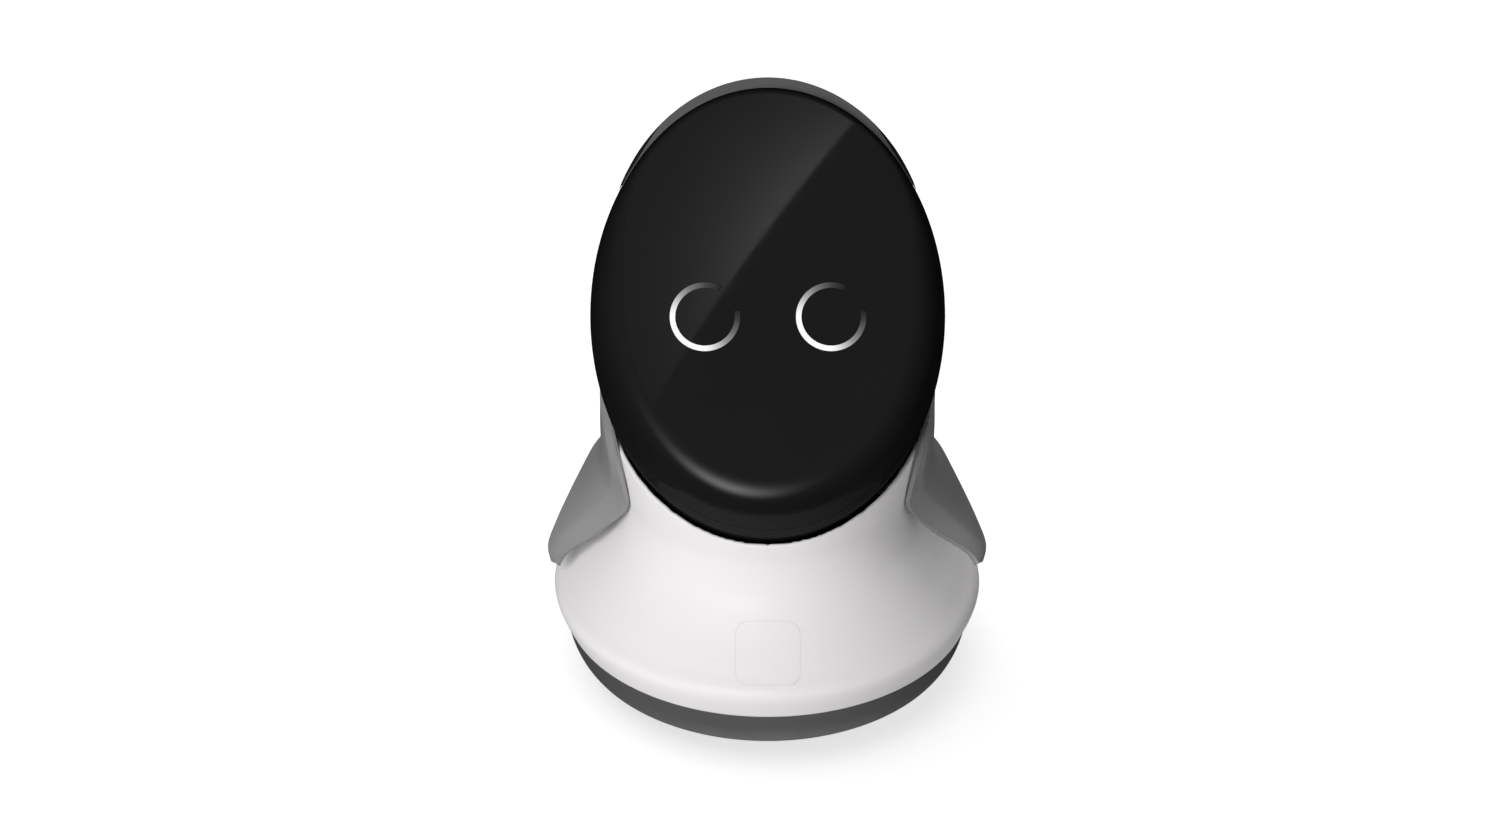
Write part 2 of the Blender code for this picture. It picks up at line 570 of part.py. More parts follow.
def neck_mast():
    foot = DECK_Z + DECK_THICKNESS + GAP
    mast = block("neck_mast", (-MAST_HALF_X, -MAST_HALF_Y, foot), (MAST_HALF_X, MAST_HALF_Y, MAST_TOP))
    join(mast, block("flange", (-FLANGE_X, FLANGE_Y[0], foot),
                     (FLANGE_X, FLANGE_Y[1], foot + FLANGE_THICKNESS)))
    inner_x, inner_y = MAST_HALF_X - MAST_WALL, MAST_HALF_Y - MAST_WALL
    cut(mast, block("bore", (-inner_x, -inner_y, foot - CUTTER_EXTRA),
                    (inner_x, inner_y, MAST_TOP + CUTTER_EXTRA)))
    finish(mast, STEEL, 0.4, 1.0)
    edge = YOKE_X + YOKE_THICKNESS
    floor = MAST_TOP + GAP
    yoke = block("tilt_yoke", (-edge, -MAST_HALF_Y, floor), (edge, MAST_HALF_Y, floor + YOKE_THICKNESS))
    for x0, x1 in ((-edge, -YOKE_X), (YOKE_X, edge)):
        join(yoke, block("arm", (x0, -MAST_HALF_Y, floor), (x1, MAST_HALF_Y, YOKE_TOP)))
    cut(yoke, rod("bore", YOKE_BORE, (-0.05, 0, PIVOT_Z), (0.05, 0, PIVOT_Z)))
    finish(yoke, STEEL, 0.4, 1.0)
    inside = YOKE_X - GAP
    servo = block("tilt_servo", (-inside, -SERVO_HALF_Y, SERVO_LOW), (inside, SERVO_HALF_Y, YOKE_TOP),
                  0.0015)
    finish(servo, CHARCOAL, 0.5)


# ---------------------------------------------------------------- head

def head_outline(offset, top, bottom, steps):
    """Points down the head's side, at heights along the face's normal."""
    radius = HEAD_RADIUS - offset
    points = []
    for k in range(steps + 1):
        h = top + (bottom - top) * k / steps
        depth = radius if h >= 0 else HEAD_REAR_DEPTH - offset
        points.append((radius * math.sqrt(max(0.0, 1 - (h / depth) ** 2)), h))
    return points


def rear_outline(offset, steps):
    """Points from the head's widest place to its back, evenly turned."""
    radius, depth = HEAD_RADIUS - offset, HEAD_REAR_DEPTH - offset
    angles = [math.pi / 2 * (k + 1) / steps for k in range(steps)]
    points = [(radius * math.cos(a), -depth * math.sin(a)) for a in angles]
    points[-1] = (0, -depth)
    return points


def face_outline(offset, upper):
    """Half of the face: flat, shoulder, then the ball down to the seam.

    upper runs from 0, for the wide shoulder at the sides and chin, to 1, for the crisp top edge.
    """
    start_r, side_top, start_pull, side_pull = [
        low + (high - low) * upper for low, high in zip(SHOULDER_LOW, SHOULDER_HIGH)]
    flat, side_top = FACE_HEIGHT - offset, side_top - offset * (0.5 + 0.4 * upper)
    radius, start_r = HEAD_RADIUS - offset, start_r - offset
    side_r = math.sqrt(radius ** 2 - side_top ** 2)
    slope = Vector((side_top, -side_r)).normalized()
    start, end = Vector((start_r, flat)), Vector((side_r, side_top))
    path = interpolate_bezier(start, start + Vector((start_pull, 0)), end - slope * side_pull, end, 5)
    return [(0, flat)] + [tuple(p) for p in path] + head_outline(offset, side_top, LENS_BACK, 2)[1:]


def face_shell():
    """The lens, a closed skin whose section changes from the chin to the top edge."""
    bm = bmesh.new()
    columns = []
    front = bm.verts.new((0, 0, FACE_HEIGHT))
    back = bm.verts.new((0, 0, FACE_HEIGHT - LENS_WALL))
    for k in range(SEGMENTS):
        angle = 2 * math.pi * k / SEGMENTS
        part = min(1.0, max(0.0, -math.cos(angle) / SHOULDER_TO))
        upper = part * part * (3 - 2 * part)
        outline = face_outline(0, upper)[1:] + face_outline(LENS_WALL, upper)[:0:-1]
        ring = [bm.verts.new((r * math.sin(angle), -r * math.cos(angle), h)) for r, h in outline]
        columns.append([front] + ring + [back])
    for one, two in zip(columns, columns[1:] + columns[:1]):
        bm.faces.new((front, one[1], two[1]))
        bm.faces.new((back, two[-2], one[-2]))
        for k in range(1, len(one) - 2):
            bm.faces.new((one[k], one[k + 1], two[k + 1], two[k]))
    bmesh.ops.recalc_face_normals(bm, faces=bm.faces)
    mesh = bpy.data.meshes.new("face_glass")
    bm.to_mesh(mesh)
    bm.free()
    return squeeze(new_object("face_glass", mesh))


def squeeze(obj):
    """Narrow a turned head piece to the head's real width."""
    obj.data.transform(Matrix.Scale(HEAD_HALF_WIDTH / HEAD_RADIUS, 4, (1, 0, 0)))
    return obj


def eye_ring(name, side, grow=0.0):
    """An open ring let into the face, flush with the glass."""
    inner, outer = EYE_INNER - grow, EYE_OUTER + grow
    start, end = EYE_START - grow / inner, EYE_END + grow / inner
    low = FACE_HEIGHT - EYE_DEPTH - grow
    high = FACE_HEIGHT + (0.002 if grow else 0.0)
    steps = 20
    bm = bmesh.new()
    sections = []
    for k in range(steps + 1):
        a = start + (end - start) * k / steps
        corners = ((inner, low), (outer, low), (outer, high), (inner, high))
        sections.append([bm.verts.new((side * EYE_X + r * math.cos(a), r * math.sin(a) - EYE_DROP, h))
                         for r, h in corners])
    for one, two in zip(sections, sections[1:]):
        for k in range(4):
            bm.faces.new((one[k - 1], one[k], two[k], two[k - 1]))
    bm.faces.new(sections[0])
    bm.faces.new(sections[-1][::-1])
    bmesh.ops.recalc_face_normals(bm, faces=bm.faces)
    mesh = bpy.data.meshes.new(name)
    bm.to_mesh(mesh)
    bm.free()
    return new_object(name, mesh)


def face_and_eyes(face):
    glass = face_shell()
    place(glass, parent=face)
    for side, word in ((1, "left"), (-1, "right")):
        cut(glass, place(eye_ring("groove", side, 0.0002), parent=face))
        finish(place(eye_ring("eye_ring_" + word, side), parent=face), LIGHT, 0.3)
    finish(glass, BLACK, 0.06)


def head_rear_shell(face):
    top = LENS_BACK - GAP
    outer = head_outline(0, top, 0, 2) + rear_outline(0, 7)
    inner = head_outline(LENS_WALL, top, 0, 2) + rear_outline(LENS_WALL, 7)
    shell = squeeze(turned("head_rear_shell", inner[::-1] + outer))
    place(shell, parent=face)
    cut(shell, block("mast_slot", *MAST_SLOT))
    finish(shell, BLACK, 0.10)


def crown_trim(face):
    """A crescent over the face's top edge, thick in the middle and thin at both ends."""
    steps, layers = 28, 3
    squash = HEAD_HALF_WIDTH / HEAD_RADIUS
    heights = [CROWN_FRONT + (CROWN_BACK - CROWN_FRONT) * k / layers for k in range(layers + 1)]
    bm = bmesh.new()
    sections = []
    for k in range(steps + 1):
        angle = CROWN_SPREAD * (2 * k / steps - 1)
        share = 1 - (angle / CROWN_SPREAD) ** 2
        thick = CROWN_TIP + CROWN_THICKNESS * share ** 0.6
        inner = [(h, 2 * GAP) for h in heights]
        outer = [(h, 2 * GAP + thick * (1 - CROWN_LEAN * j / layers)) for j, h in enumerate(heights)]
        corners = []
        for h, extra in inner + outer[::-1]:
            reach = math.sqrt(HEAD_RADIUS ** 2 - h ** 2) + extra
            corners.append(bm.verts.new((reach * math.sin(angle) * squash, reach * math.cos(angle), h)))
        sections.append(corners)
    for one, two in zip(sections, sections[1:]):
        for k in range(len(one)):
            bm.faces.new((one[k - 1], one[k], two[k], two[k - 1]))
    bm.faces.new(sections[0])
    bm.faces.new(sections[-1][::-1])
    bmesh.ops.recalc_face_normals(bm, faces=bm.faces)
    mesh = bpy.data.meshes.new("crown_trim")
    bm.to_mesh(mesh)
    bm.free()
    trim = new_object("crown_trim", mesh)
    finish(place(trim, parent=face), DARK_GREY, 0.4)


def head_inside(face, pivot):
    frame = squeeze(turned("head_frame", [(0, FRAME_FRONT), (FRAME_RADIUS, FRAME_FRONT),
                                          (FRAME_RADIUS, FRAME_BACK), (0, FRAME_BACK)]))
    place(frame, parent=face)
    window = LUG_X - GAP
    cut(frame, place(block("window", (-window, -WINDOW_HALF, 0), (window, WINDOW_HALF, 0.03)), parent=face))
    for side in (-1, 1):
        x0, x1 = sorted((side * LUG_X, side * (LUG_X + LUG_THICKNESS)))
        lug = block("lug", (x0, -LUG_HALF, -LUG_HALF), (x1, LUG_HALF, FRAME_FRONT))
        join(frame, place(lug, parent=face))
        x = side * LED_POST_X
        for y in LED_POST_Y:
            join(frame, place(rod("post", POST_RADIUS, (x, y, FRAME_BACK + 0.001), (x, y, LED_Z - GAP),
                                  SCREW_SEGMENTS), parent=face))
    finish(frame, CHARCOAL, 0.6)
    board = block("eye_led_board", (-LED_X, LED_Y[0], LED_Z), (LED_X, LED_Y[1], LED_Z + LED_THICKNESS))
    finish(place(board, parent=face), BOARD, 0.5)
    camera = block("camera_module", (-CAMERA_HALF, CAMERA_Y - CAMERA_HALF, FRAME_FRONT + GAP),
                   (CAMERA_HALF, CAMERA_Y + CAMERA_HALF, CAMERA_TOP), 0.001)
    place(camera, parent=face)
    lens = rod("lens", LENS_RADIUS, (0, CAMERA_Y, CAMERA_TOP - 0.001), (0, CAMERA_Y, LENS_TOP))
    join(camera, place(lens, parent=face))
    finish(camera, BLACK, 0.3)
    for side, name in ((1, "servo_horn"), (-1, "pivot_pin")):
        outline = [(0, HORN_X + HORN_THICKNESS), (HORN_RADIUS, HORN_X + HORN_THICKNESS),
                   (HORN_RADIUS, HORN_X), (0.0045, HORN_X), (0.0045, YOKE_X), (0, YOKE_X)]
        horn = turned(name, outline, segments=SMALL_SEGMENTS)
        place(horn, rotation=(0, side * math.pi / 2, 0), parent=pivot)
        finish(horn, STEEL, 0.3, 1.0)


def main():
    pivot = bpy.data.objects.new("head_pivot", None)
    pivot.location = (0, 0, PIVOT_Z)
    face = bpy.data.objects.new("face_axes", None)
    face.rotation_euler = (FACE_TILT, 0, 0)
    face.parent = pivot
    PARTS.objects.link(pivot)
    PARTS.objects.link(face)
    bpy.context.view_layer.update()
    base_bowl()
    floor_pieces()
    deck_plate()
    for side, word in ((1, "left"), (-1, "right")):
        drive_wheel(side, word)
        gearmotor(side, word)
        fin(side, word)
    for side, word in ((-1, "front"), (1, "rear")):
        caster(side, word)
    skirt_and_hatch()
    rear_shell()
    electronics()
    neck_mast()
    face_and_eyes(face)
    head_rear_shell(face)
    crown_trim(face)
    head_inside(face, pivot)


clear_scene()
PARTS = bpy.data.collections.new("companion_robot")
bpy.context.scene.collection.children.link(PARTS)
main()
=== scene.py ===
"""Looks of the home companion robot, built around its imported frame.

Metres, +Z up, the robot faces -Y and its own left side is at +X.
"""
import json
import math

import bmesh
import bpy
from mathutils import Matrix, Vector
from mathutils.geometry import interpolate_bezier


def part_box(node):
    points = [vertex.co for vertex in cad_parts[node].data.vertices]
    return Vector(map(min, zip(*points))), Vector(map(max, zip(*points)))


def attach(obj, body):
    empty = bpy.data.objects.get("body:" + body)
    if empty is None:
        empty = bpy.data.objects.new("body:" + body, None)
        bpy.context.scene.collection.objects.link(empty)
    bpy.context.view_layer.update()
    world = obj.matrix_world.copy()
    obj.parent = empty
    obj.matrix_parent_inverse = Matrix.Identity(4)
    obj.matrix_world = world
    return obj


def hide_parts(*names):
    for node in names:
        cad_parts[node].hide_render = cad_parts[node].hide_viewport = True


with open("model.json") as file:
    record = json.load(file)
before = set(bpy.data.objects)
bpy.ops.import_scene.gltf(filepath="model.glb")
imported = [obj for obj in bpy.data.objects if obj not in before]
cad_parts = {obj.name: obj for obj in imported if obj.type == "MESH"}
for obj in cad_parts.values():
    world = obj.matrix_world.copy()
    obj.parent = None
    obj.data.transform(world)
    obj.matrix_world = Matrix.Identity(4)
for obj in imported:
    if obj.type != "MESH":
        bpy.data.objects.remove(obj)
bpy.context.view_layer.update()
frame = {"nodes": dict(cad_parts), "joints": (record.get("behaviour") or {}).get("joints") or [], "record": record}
PIVOT = Vector(next(j for j in frame["joints"] if j["name"] == "head_nod")["pos_m"])

# ---------------------------------------------------------------- dimensions, metres

SEGMENTS = 288               # around the large shells
WALL = 0.003
EDGE = 0.0005                # rounding of moulded edges

# skirt and neck, as (radius, height)
SEAM_Z = 0.0374
SKIRT_CURVE = [
    (0.1430, SEAM_Z), (0.1500, 0.058), (0.1390, 0.070), (0.1215, 0.087), (0.1055, 0.108),
    (0.1000, 0.130), (0.1024, 0.150), (0.1078, 0.185), (0.1092, 0.216),
]
HATCH_SIZE, HATCH_Z, HATCH_GAP, HATCH_CORNER, HATCH_REACH = 0.044, 0.080, 0.00008, 0.009, 0.03

# bowl
BOWL_CURVE = [(0.1429, 0.0371), (0.1392, 0.022), (0.1333, 0.011), (0.1249, 0.004)]
FLOOR_EDGE = 0.12            # radius up to which the bowl's floor is flat
WHEEL_ROOM_X, WHEEL_ROOM_Y, FLOOR_CUT = 0.0015, 0.0035, 0.02
CASTER_Y, CASTER_HOLE = 0.098, 0.0205

# head
HEAD_RADIUS, HEAD_HALF_WIDTH, HEAD_REAR_DEPTH = 0.154, 0.1205, 0.145
FACE_TILT = math.radians(47)
FACE_HEIGHT = 0.057
# the face's shoulder at the chin and sides, and at the top edge: radius where it starts, height
# where it meets the ball, and how far it runs straight on from both ends
SHOULDER_LOW, SHOULDER_HIGH = (0.1220, 0.044, 0.017, 0.006), (0.1405, 0.0555, 0.0018, 0.0007)
SHOULDER_FROM, SHOULDER_TO = 0.0, 0.75
LENS_BACK, LENS_WALL, LENS_GAP = 0.024, 0.0028, 0.0003
SOCKET_CLEARANCE, SOCKET_REAR, RIM_MARGIN = 0.0015, 0.149, 0.0006
YOKE_SLOT = (-0.036, -0.070, 0.100), (0.036, 0.046, 0.156)
EYE_X, EYE_DROP, EYE_INNER, EYE_OUTER, EYE_DEPTH = 0.042, 0.0135, 0.0198, 0.0234, 0.0010
EYE_START, EYE_END = math.radians(62), math.radians(370)
CROWN_SPREAD, CROWN_THICKNESS, CROWN_TIP = math.radians(57), 0.0070, 0.0009
CROWN_FRONT, CROWN_BACK, CROWN_LIFT = 0.0455, 0.018, 0.0006
CROWN_LEAN = 0.4
LIP_DEPTH, LIP_FULL, LIP_THIN, LIP_LINE = 0.0035, math.radians(35), math.radians(52), 0.0012

# rear shell and fins
REAR_CURVE = [(0.1150, 0.216), (0.1140, 0.200), (0.1135, 0.170), (0.1145, 0.140), (0.1185, 0.106)]
REAR_WALL, BUTTON_GAP = 0.0026, 0.0003
GRILLE_SLOTS, GRILLE_LOW, GRILLE_STEP, GRILLE_HEIGHT, GRILLE_HALF = 5, 0.116, 0.0045, 0.0022, 0.022
FIN_REAR_Y = 0.0468
FIN_ROWS = [
    ((0.1155, -0.0080, 0.2160), (0.1050, 0.0464, 0.2160), 0.0030),
    ((0.1140, -0.0178, 0.2060), (0.1050, 0.0464, 0.2060), 0.0050),
    ((0.1105, -0.0329, 0.1960), (0.1050, 0.0464, 0.1930), 0.0075),
    ((0.1078, -0.0400, 0.1840), (0.1052, 0.0464, 0.1800), 0.0090),
    ((0.1048, -0.0419, 0.1700), (0.1060, 0.0462, 0.1680), 0.0100),
    ((0.1026, -0.0422, 0.1590), (0.1090, 0.0460, 0.1585), 0.0096),
    ((0.1010, -0.0416, 0.1500), (0.1150, 0.0450, 0.1490), 0.0086),
    ((0.1000, -0.0405, 0.1420), (0.1229, 0.0400, 0.1400), 0.0076),
    ((0.1044, -0.0345, 0.1300), (0.1320, 0.0320, 0.1250), 0.0062),
    ((0.1160, -0.0250, 0.1140), (0.1404, 0.0220, 0.1112), 0.0045),
    ((0.1312, -0.0200, 0.0998), (0.1479, 0.0100, 0.0990), 0.0028),
    ((0.1432, -0.0177, 0.0882), (0.1541, -0.0020, 0.0860), 0.0012),
    ((0.1490, -0.0200, 0.0814), (0.1519, -0.0140, 0.0785), 0.0003),
]
FIN_U, FIN_V = 40, 110
FIN_PARTING, FIN_SEAM, FIN_THICKNESS = 0.0030, 0.0004, 0.0048
# border along the fin's front and lower edges: how far it falls away, the softness of its crease, and
# its width at the rim, at the corner and near the tip
BORDER_DROP, CREASE, BORDER_TIP = 0.0030, 0.08, 0.2
BORDER_RIM, BORDER_CORNER, BORDER_LOSS = 0.0060, 0.0110, 0.0045
BODY_GAP = 0.0006

# drive tyres: inner radius, tread blocks, depth of the cross grooves and the middle groove
TYRE_INNER, TYRE_BLOCKS, TYRE_STEPS, CROSS_GROOVE, MIDDLE_GROOVE = 0.0253, 36, 6, 0.0011, 0.0012
TYRE_SHOULDER, TYRE_EDGE = 0.0010, 0.0032


# ---------------------------------------------------------------- mesh tools

def add_object(name, bm, smooth_angle=32):
    """An object from a bmesh, smooth shaded with its hard edges kept."""
    bmesh.ops.recalc_face_normals(bm, faces=bm.faces)
    mesh = bpy.data.meshes.new(name)
    bm.to_mesh(mesh)
    bm.free()
    mesh.shade_smooth()
    mesh.set_sharp_from_angle(angle=math.radians(smooth_angle))
    obj = bpy.data.objects.new(name, mesh)
    bpy.context.scene.collection.objects.link(obj)
    return obj


def skin(name, rows, wrap_rows=False, wrap_columns=False, smooth_angle=32):
    """A surface through rows of points; a row with one point is a pole."""
    bm = bmesh.new()
    made = [[bm.verts.new(p) for p in row] for row in rows]
    pairs = list(zip(made, made[1:]))
    if wrap_rows:
        pairs.append((made[-1], made[0]))
    for one, two in pairs:
        count = max(len(one), len(two))
        for k in range(count if wrap_columns else count - 1):
            n = (k + 1) % count
            if len(one) == 1:
                bm.faces.new((one[0], two[k], two[n]))
            elif len(two) == 1:
                bm.faces.new((one[k], one[n], two[0]))
            else:
                bm.faces.new((one[k], one[n], two[n], two[k]))
    return add_object(name, bm, smooth_angle)


def lathe(name, outline, narrow=1.0, smooth_angle=32):
    """Turn an outline of (radius, height) about Z."""
    rows = []
    for r, z in outline:
        if r < 1e-7:
            rows.append([(0, 0, z)])
            continue
        angles = [2 * math.pi * k / SEGMENTS for k in range(SEGMENTS)]
        rows.append([(narrow * r * math.sin(a), -r * math.cos(a), z) for a in angles])
    return skin(name, rows, wrap_columns=True, smooth_angle=smooth_angle)


def curve_through(points, steps):
    """Catmull-Rom curve through points of any size."""
    vectors = [Vector(p) for p in points]
    ends = [vectors[0]] + vectors + [vectors[-1]]
    curve = [vectors[0]]
    for i in range(1, len(ends) - 2):
        p0, p1, p2, p3 = ends[i - 1:i + 3]
        for k in range(1, steps + 1):
            t = k / steps
            curve.append(0.5 * (2 * p1 + (p2 - p0) * t + (2 * p0 - 5 * p1 + 4 * p2 - p3) * t * t
                                + (3 * p1 - p0 - 3 * p2 + p3) * t ** 3))
    return curve


def radius_at(curve, height):
    """Radius of a turned curve at a height."""
    for one, two in zip(curve, curve[1:]):
        low, high = sorted((one[1], two[1]))
        if low <= height <= high and high > low:
            return one[0] + (two[0] - one[0]) * (height - one[1]) / (two[1] - one[1])
    return curve[-1][0] if abs(height - curve[-1][1]) < abs(height - curve[0][1]) else curve[0][0]


def smoothstep(x):
    x = min(1.0, max(0.0, x))
    return x * x * (3 - 2 * x)


def bevelled(obj, width=EDGE, segments=3, angle=35):
    """Round an object's hard edges and keep the result as plain mesh."""
    tool = obj.modifiers.new("round", "BEVEL")
    tool.width = width
    tool.segments = segments
    tool.limit_method = "ANGLE"
    tool.angle_limit = math.radians(angle)
    tool.harden_normals = False
    settle(obj)


def settle(obj):
    """Apply an object's modifiers."""
    bpy.context.view_layer.update()
    graph = bpy.context.evaluated_depsgraph_get()
    mesh = bpy.data.meshes.new_from_object(obj.evaluated_get(graph))
    obj.modifiers.clear()
    obj.data = mesh
    mesh.shade_smooth()
    mesh.set_sharp_from_angle(angle=math.radians(32))


def combine(obj, other, operation="DIFFERENCE"):
    """Cut, or keep what is inside, and drop the tool."""
    tool = obj.modifiers.new("cut", "BOOLEAN")
    tool.operation = operation
    tool.solver = "EXACT"
    tool.object = other
    settle(obj)
    bpy.data.objects.remove(other)


def cube(name, low, high, bevel=0.0):
    """A box between two corners with rounded edges."""
    low, high = Vector(low), Vector(high)
    bm = bmesh.new()
    bmesh.ops.create_cube(bm, size=1.0)
    bmesh.ops.scale(bm, vec=high - low, verts=bm.verts)
    bmesh.ops.translate(bm, vec=(low + high) / 2, verts=bm.verts)
    if bevel:
        bmesh.ops.bevel(bm, geom=bm.edges, offset=bevel, segments=3, affect="EDGES", profile=0.5)
    return add_object(name, bm)


def cylinder(name, radius, start, end, segments=48):
    start, end = Vector(start), Vector(end)
    turn = Vector((0, 0, 1)).rotation_difference(end - start).to_matrix().to_4x4()
    bm = bmesh.new()
    bmesh.ops.create_cone(bm, cap_ends=True, segments=segments, radius1=radius, radius2=radius,
                          depth=(end - start).length, matrix=Matrix.Translation((start + end) / 2) @ turn)
    return add_object(name, bm)


def rounded_post(name, half, corner, length):
    """A square post with rounded corners, along Z."""
    bm = bmesh.new()
    bmesh.ops.create_cube(bm, size=1.0)
    bmesh.ops.scale(bm, vec=(2 * half, 2 * half, length), verts=bm.verts)
    posts = [e for e in bm.edges if abs(e.verts[0].co.z - e.verts[1].co.z) > length / 2]
    bmesh.ops.bevel(bm, geom=posts, offset=corner, segments=12, affect="EDGES", profile=0.5)
    return add_object(name, bm)


def to_head(obj):
    """Move a piece made in the face's own axes to its place on the head."""
    obj.data.transform(Matrix.Translation(PIVOT) @ Matrix.Rotation(FACE_TILT, 4, "X"))
    return obj


def show(obj, body, slot, mat, *nodes):
    """Say what a piece rides on, what it replaces and what it is made of."""
    obj.data.materials.clear()
    obj.data.materials.append(mat)
    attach(obj, body)
    if nodes:
        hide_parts(*nodes)
    return obj


# ---------------------------------------------------------------- materials

class Shader:
    """A Principled material with short ways to add noise, ramps and bump."""

    def __init__(self, name, colour, roughness, metallic=0.0, **sockets):
        self.mat = bpy.data.materials.new(name)
        self.mat.use_nodes = True
        self.nodes = self.mat.node_tree.nodes
        self.links = self.mat.node_tree.links
        self.bsdf = self.nodes["Principled BSDF"]
        self.bsdf.inputs["Base Color"].default_value = (*colour, 1)
        self.bsdf.inputs["Roughness"].default_value = roughness
        self.bsdf.inputs["Metallic"].default_value = metallic
        for key, value in sockets.items():
            self.bsdf.inputs[key.replace("_", " ")].default_value = value
        self.place = self.nodes.new("ShaderNodeTexCoord").outputs["Object"]

    def stretched(self, scale):
        node = self.nodes.new("ShaderNodeMapping")
        node.inputs["Scale"].default_value = scale
        self.links.new(self.place, node.inputs["Vector"])
        return node.outputs["Vector"]

    def noise(self, scale, detail=2.0, vector=None):
        node = self.nodes.new("ShaderNodeTexNoise")
        node.inputs["Scale"].default_value = scale
        node.inputs["Detail"].default_value = detail
        self.links.new(vector or self.place, node.inputs["Vector"])
        return node.outputs["Fac"]

    def between(self, value, low, high, start=0.3, end=0.7):
        node = self.nodes.new("ShaderNodeMapRange")
        for key, number in (("From Min", start), ("From Max", end), ("To Min", low), ("To Max", high)):
            node.inputs[key].default_value = number
        self.links.new(value, node.inputs["Value"])
        return node.outputs["Result"]

    def drift(self, value, one, two):
        """Colour that drifts between two tones."""
        node = self.nodes.new("ShaderNodeMix")
        node.data_type = "RGBA"
        node.inputs["A"].default_value = (*one, 1)
        node.inputs["B"].default_value = (*two, 1)
        self.links.new(value, node.inputs["Factor"])
        return node.outputs["Result"]

    def bump(self, value, depth, strength=1.0):
        node = self.nodes.new("ShaderNodeBump")
        node.inputs["Distance"].default_value = depth
        node.inputs["Strength"].default_value = strength
        self.links.new(value, node.inputs["Height"])
        previous = self.bsdf.inputs["Normal"].links
        if previous:
            self.links.new(previous[0].from_socket, node.inputs["Normal"])
        self.links.new(node.outputs["Normal"], self.bsdf.inputs["Normal"])
        return self

    def grazing(self, power):
        """Keep the gloss even instead of mirror bright at grazing angles."""
        level = self.bsdf.inputs["Specular IOR Level"]
        facing = self.nodes.new("ShaderNodeLayerWeight").outputs["Facing"]
        maths = Maths(self.mat.node_tree)
        kept = maths.do("POWER", maths.do("SUBTRACT", 1.0, facing), power)
        self.links.new(maths.do("MULTIPLY", kept, level.default_value), level)
        return self

    def drive(self, socket, value):
        self.links.new(value, self.bsdf.inputs[socket])
        return self


def tone(colour, factor):
    return tuple(c * factor for c in colour)


def moulded(name, colour, roughness, swing, grain, depth, spread=0.03, **sockets):
    """Moulded plastic: slow colour drift, roughness in patches and fine grain."""
    shader = Shader(name, colour, roughness, **sockets)
    slow = shader.noise(9.0, 3.0)
    shader.drive("Base Color", shader.drift(shader.between(slow, 0, 1), tone(colour, 1 - spread),
                                            tone(colour, 1 + spread)))
    patches = shader.noise(60.0, 4.0)
    shader.drive("Roughness", shader.between(patches, roughness - swing, roughness + swing))
    shader.bump(shader.noise(grain, 2.0), depth)
    return shader


def brushed(name, colour, roughness, scale=(40, 2200, 2200)):
    """Metal with fine lines that run along X."""
    shader = Shader(name, colour, roughness, metallic=1.0)
    lines = shader.noise(1.0, 3.0, shader.stretched(scale))
    shader.drive("Roughness", shader.between(lines, roughness - 0.08, roughness + 0.1))
    shader.drive("Base Color", shader.drift(shader.between(lines, 0, 1), tone(colour, 0.9), colour))
    shader.bump(lines, 0.00002)
    return shader


def worn_rubber():
    shader = moulded("tyre_rubber", (0.018, 0.018, 0.019), 0.72, 0.08, 900, 0.00012, 0.2)
    dust = shader.noise(38.0, 6.0)
    shader.drive("Base Color", shader.drift(shader.between(dust, 0, 1, 0.5, 0.75), (0.016, 0.016, 0.017),
                                            (0.055, 0.052, 0.048)))
    return shader


def circuit_board():
    """Green lacquer with raised tracks."""
    shader = Shader("board_lacquer", (0.015, 0.09, 0.05), 0.35)
    cells = shader.nodes.new("ShaderNodeTexVoronoi")
    cells.distance = "MANHATTAN"
    cells.inputs["Scale"].default_value = 320.0
    shader.links.new(shader.place, cells.inputs["Vector"])
    tracks = shader.between(cells.outputs["Distance"], 0, 1, 0.25, 0.35)
    shader.drive("Base Color", shader.drift(tracks, (0.03, 0.15, 0.08), (0.012, 0.075, 0.042)))
    shader.bump(tracks, 0.00003)
    return shader


def eye_glow():
    """A light guide, full on the left and below and fading towards its two ends."""
    shader = Shader("eye_light", (0.006, 0.006, 0.006), 0.1)
    nodes, links = shader.nodes, shader.links
    parts = nodes.new("ShaderNodeSeparateXYZ")
    links.new(shader.place, parts.inputs["Vector"])
    angle = nodes.new("ShaderNodeMath")
    angle.operation = "ARCTAN2"
    links.new(parts.outputs["X"], angle.inputs[0])
    links.new(parts.outputs["Y"], angle.inputs[1])
    turn = shader.between(angle.outputs["Value"], 0.0, 1.0, -math.pi, math.pi)
    ramp = nodes.new("ShaderNodeValToRGB")
    links.new(turn, ramp.inputs["Fac"])
    stops = ((0.00, 1.0), (0.26, 1.0), (0.31, 0.70), (0.36, 0.38), (0.42, 0.175), (0.50, 0.045), (0.58, 0.0),
             (0.70, 0.0), (0.76, 0.03), (0.83, 0.13), (0.89, 0.28), (0.94, 0.58), (0.98, 0.88), (1.00, 1.0))
    ramp.color_ramp.elements.remove(ramp.color_ramp.elements[1])
    ramp.color_ramp.elements[0].position = stops[0][0]
    ramp.color_ramp.elements[0].color = (stops[0][1],) * 3 + (1,)
    for position, value in stops[1:]:
        element = ramp.color_ramp.elements.new(position)
        element.color = (value, value, value, 1)
    links.new(ramp.outputs["Color"], shader.bsdf.inputs["Emission Color"])
    shader.bsdf.inputs["Emission Strength"].default_value = 1.0
    return shader


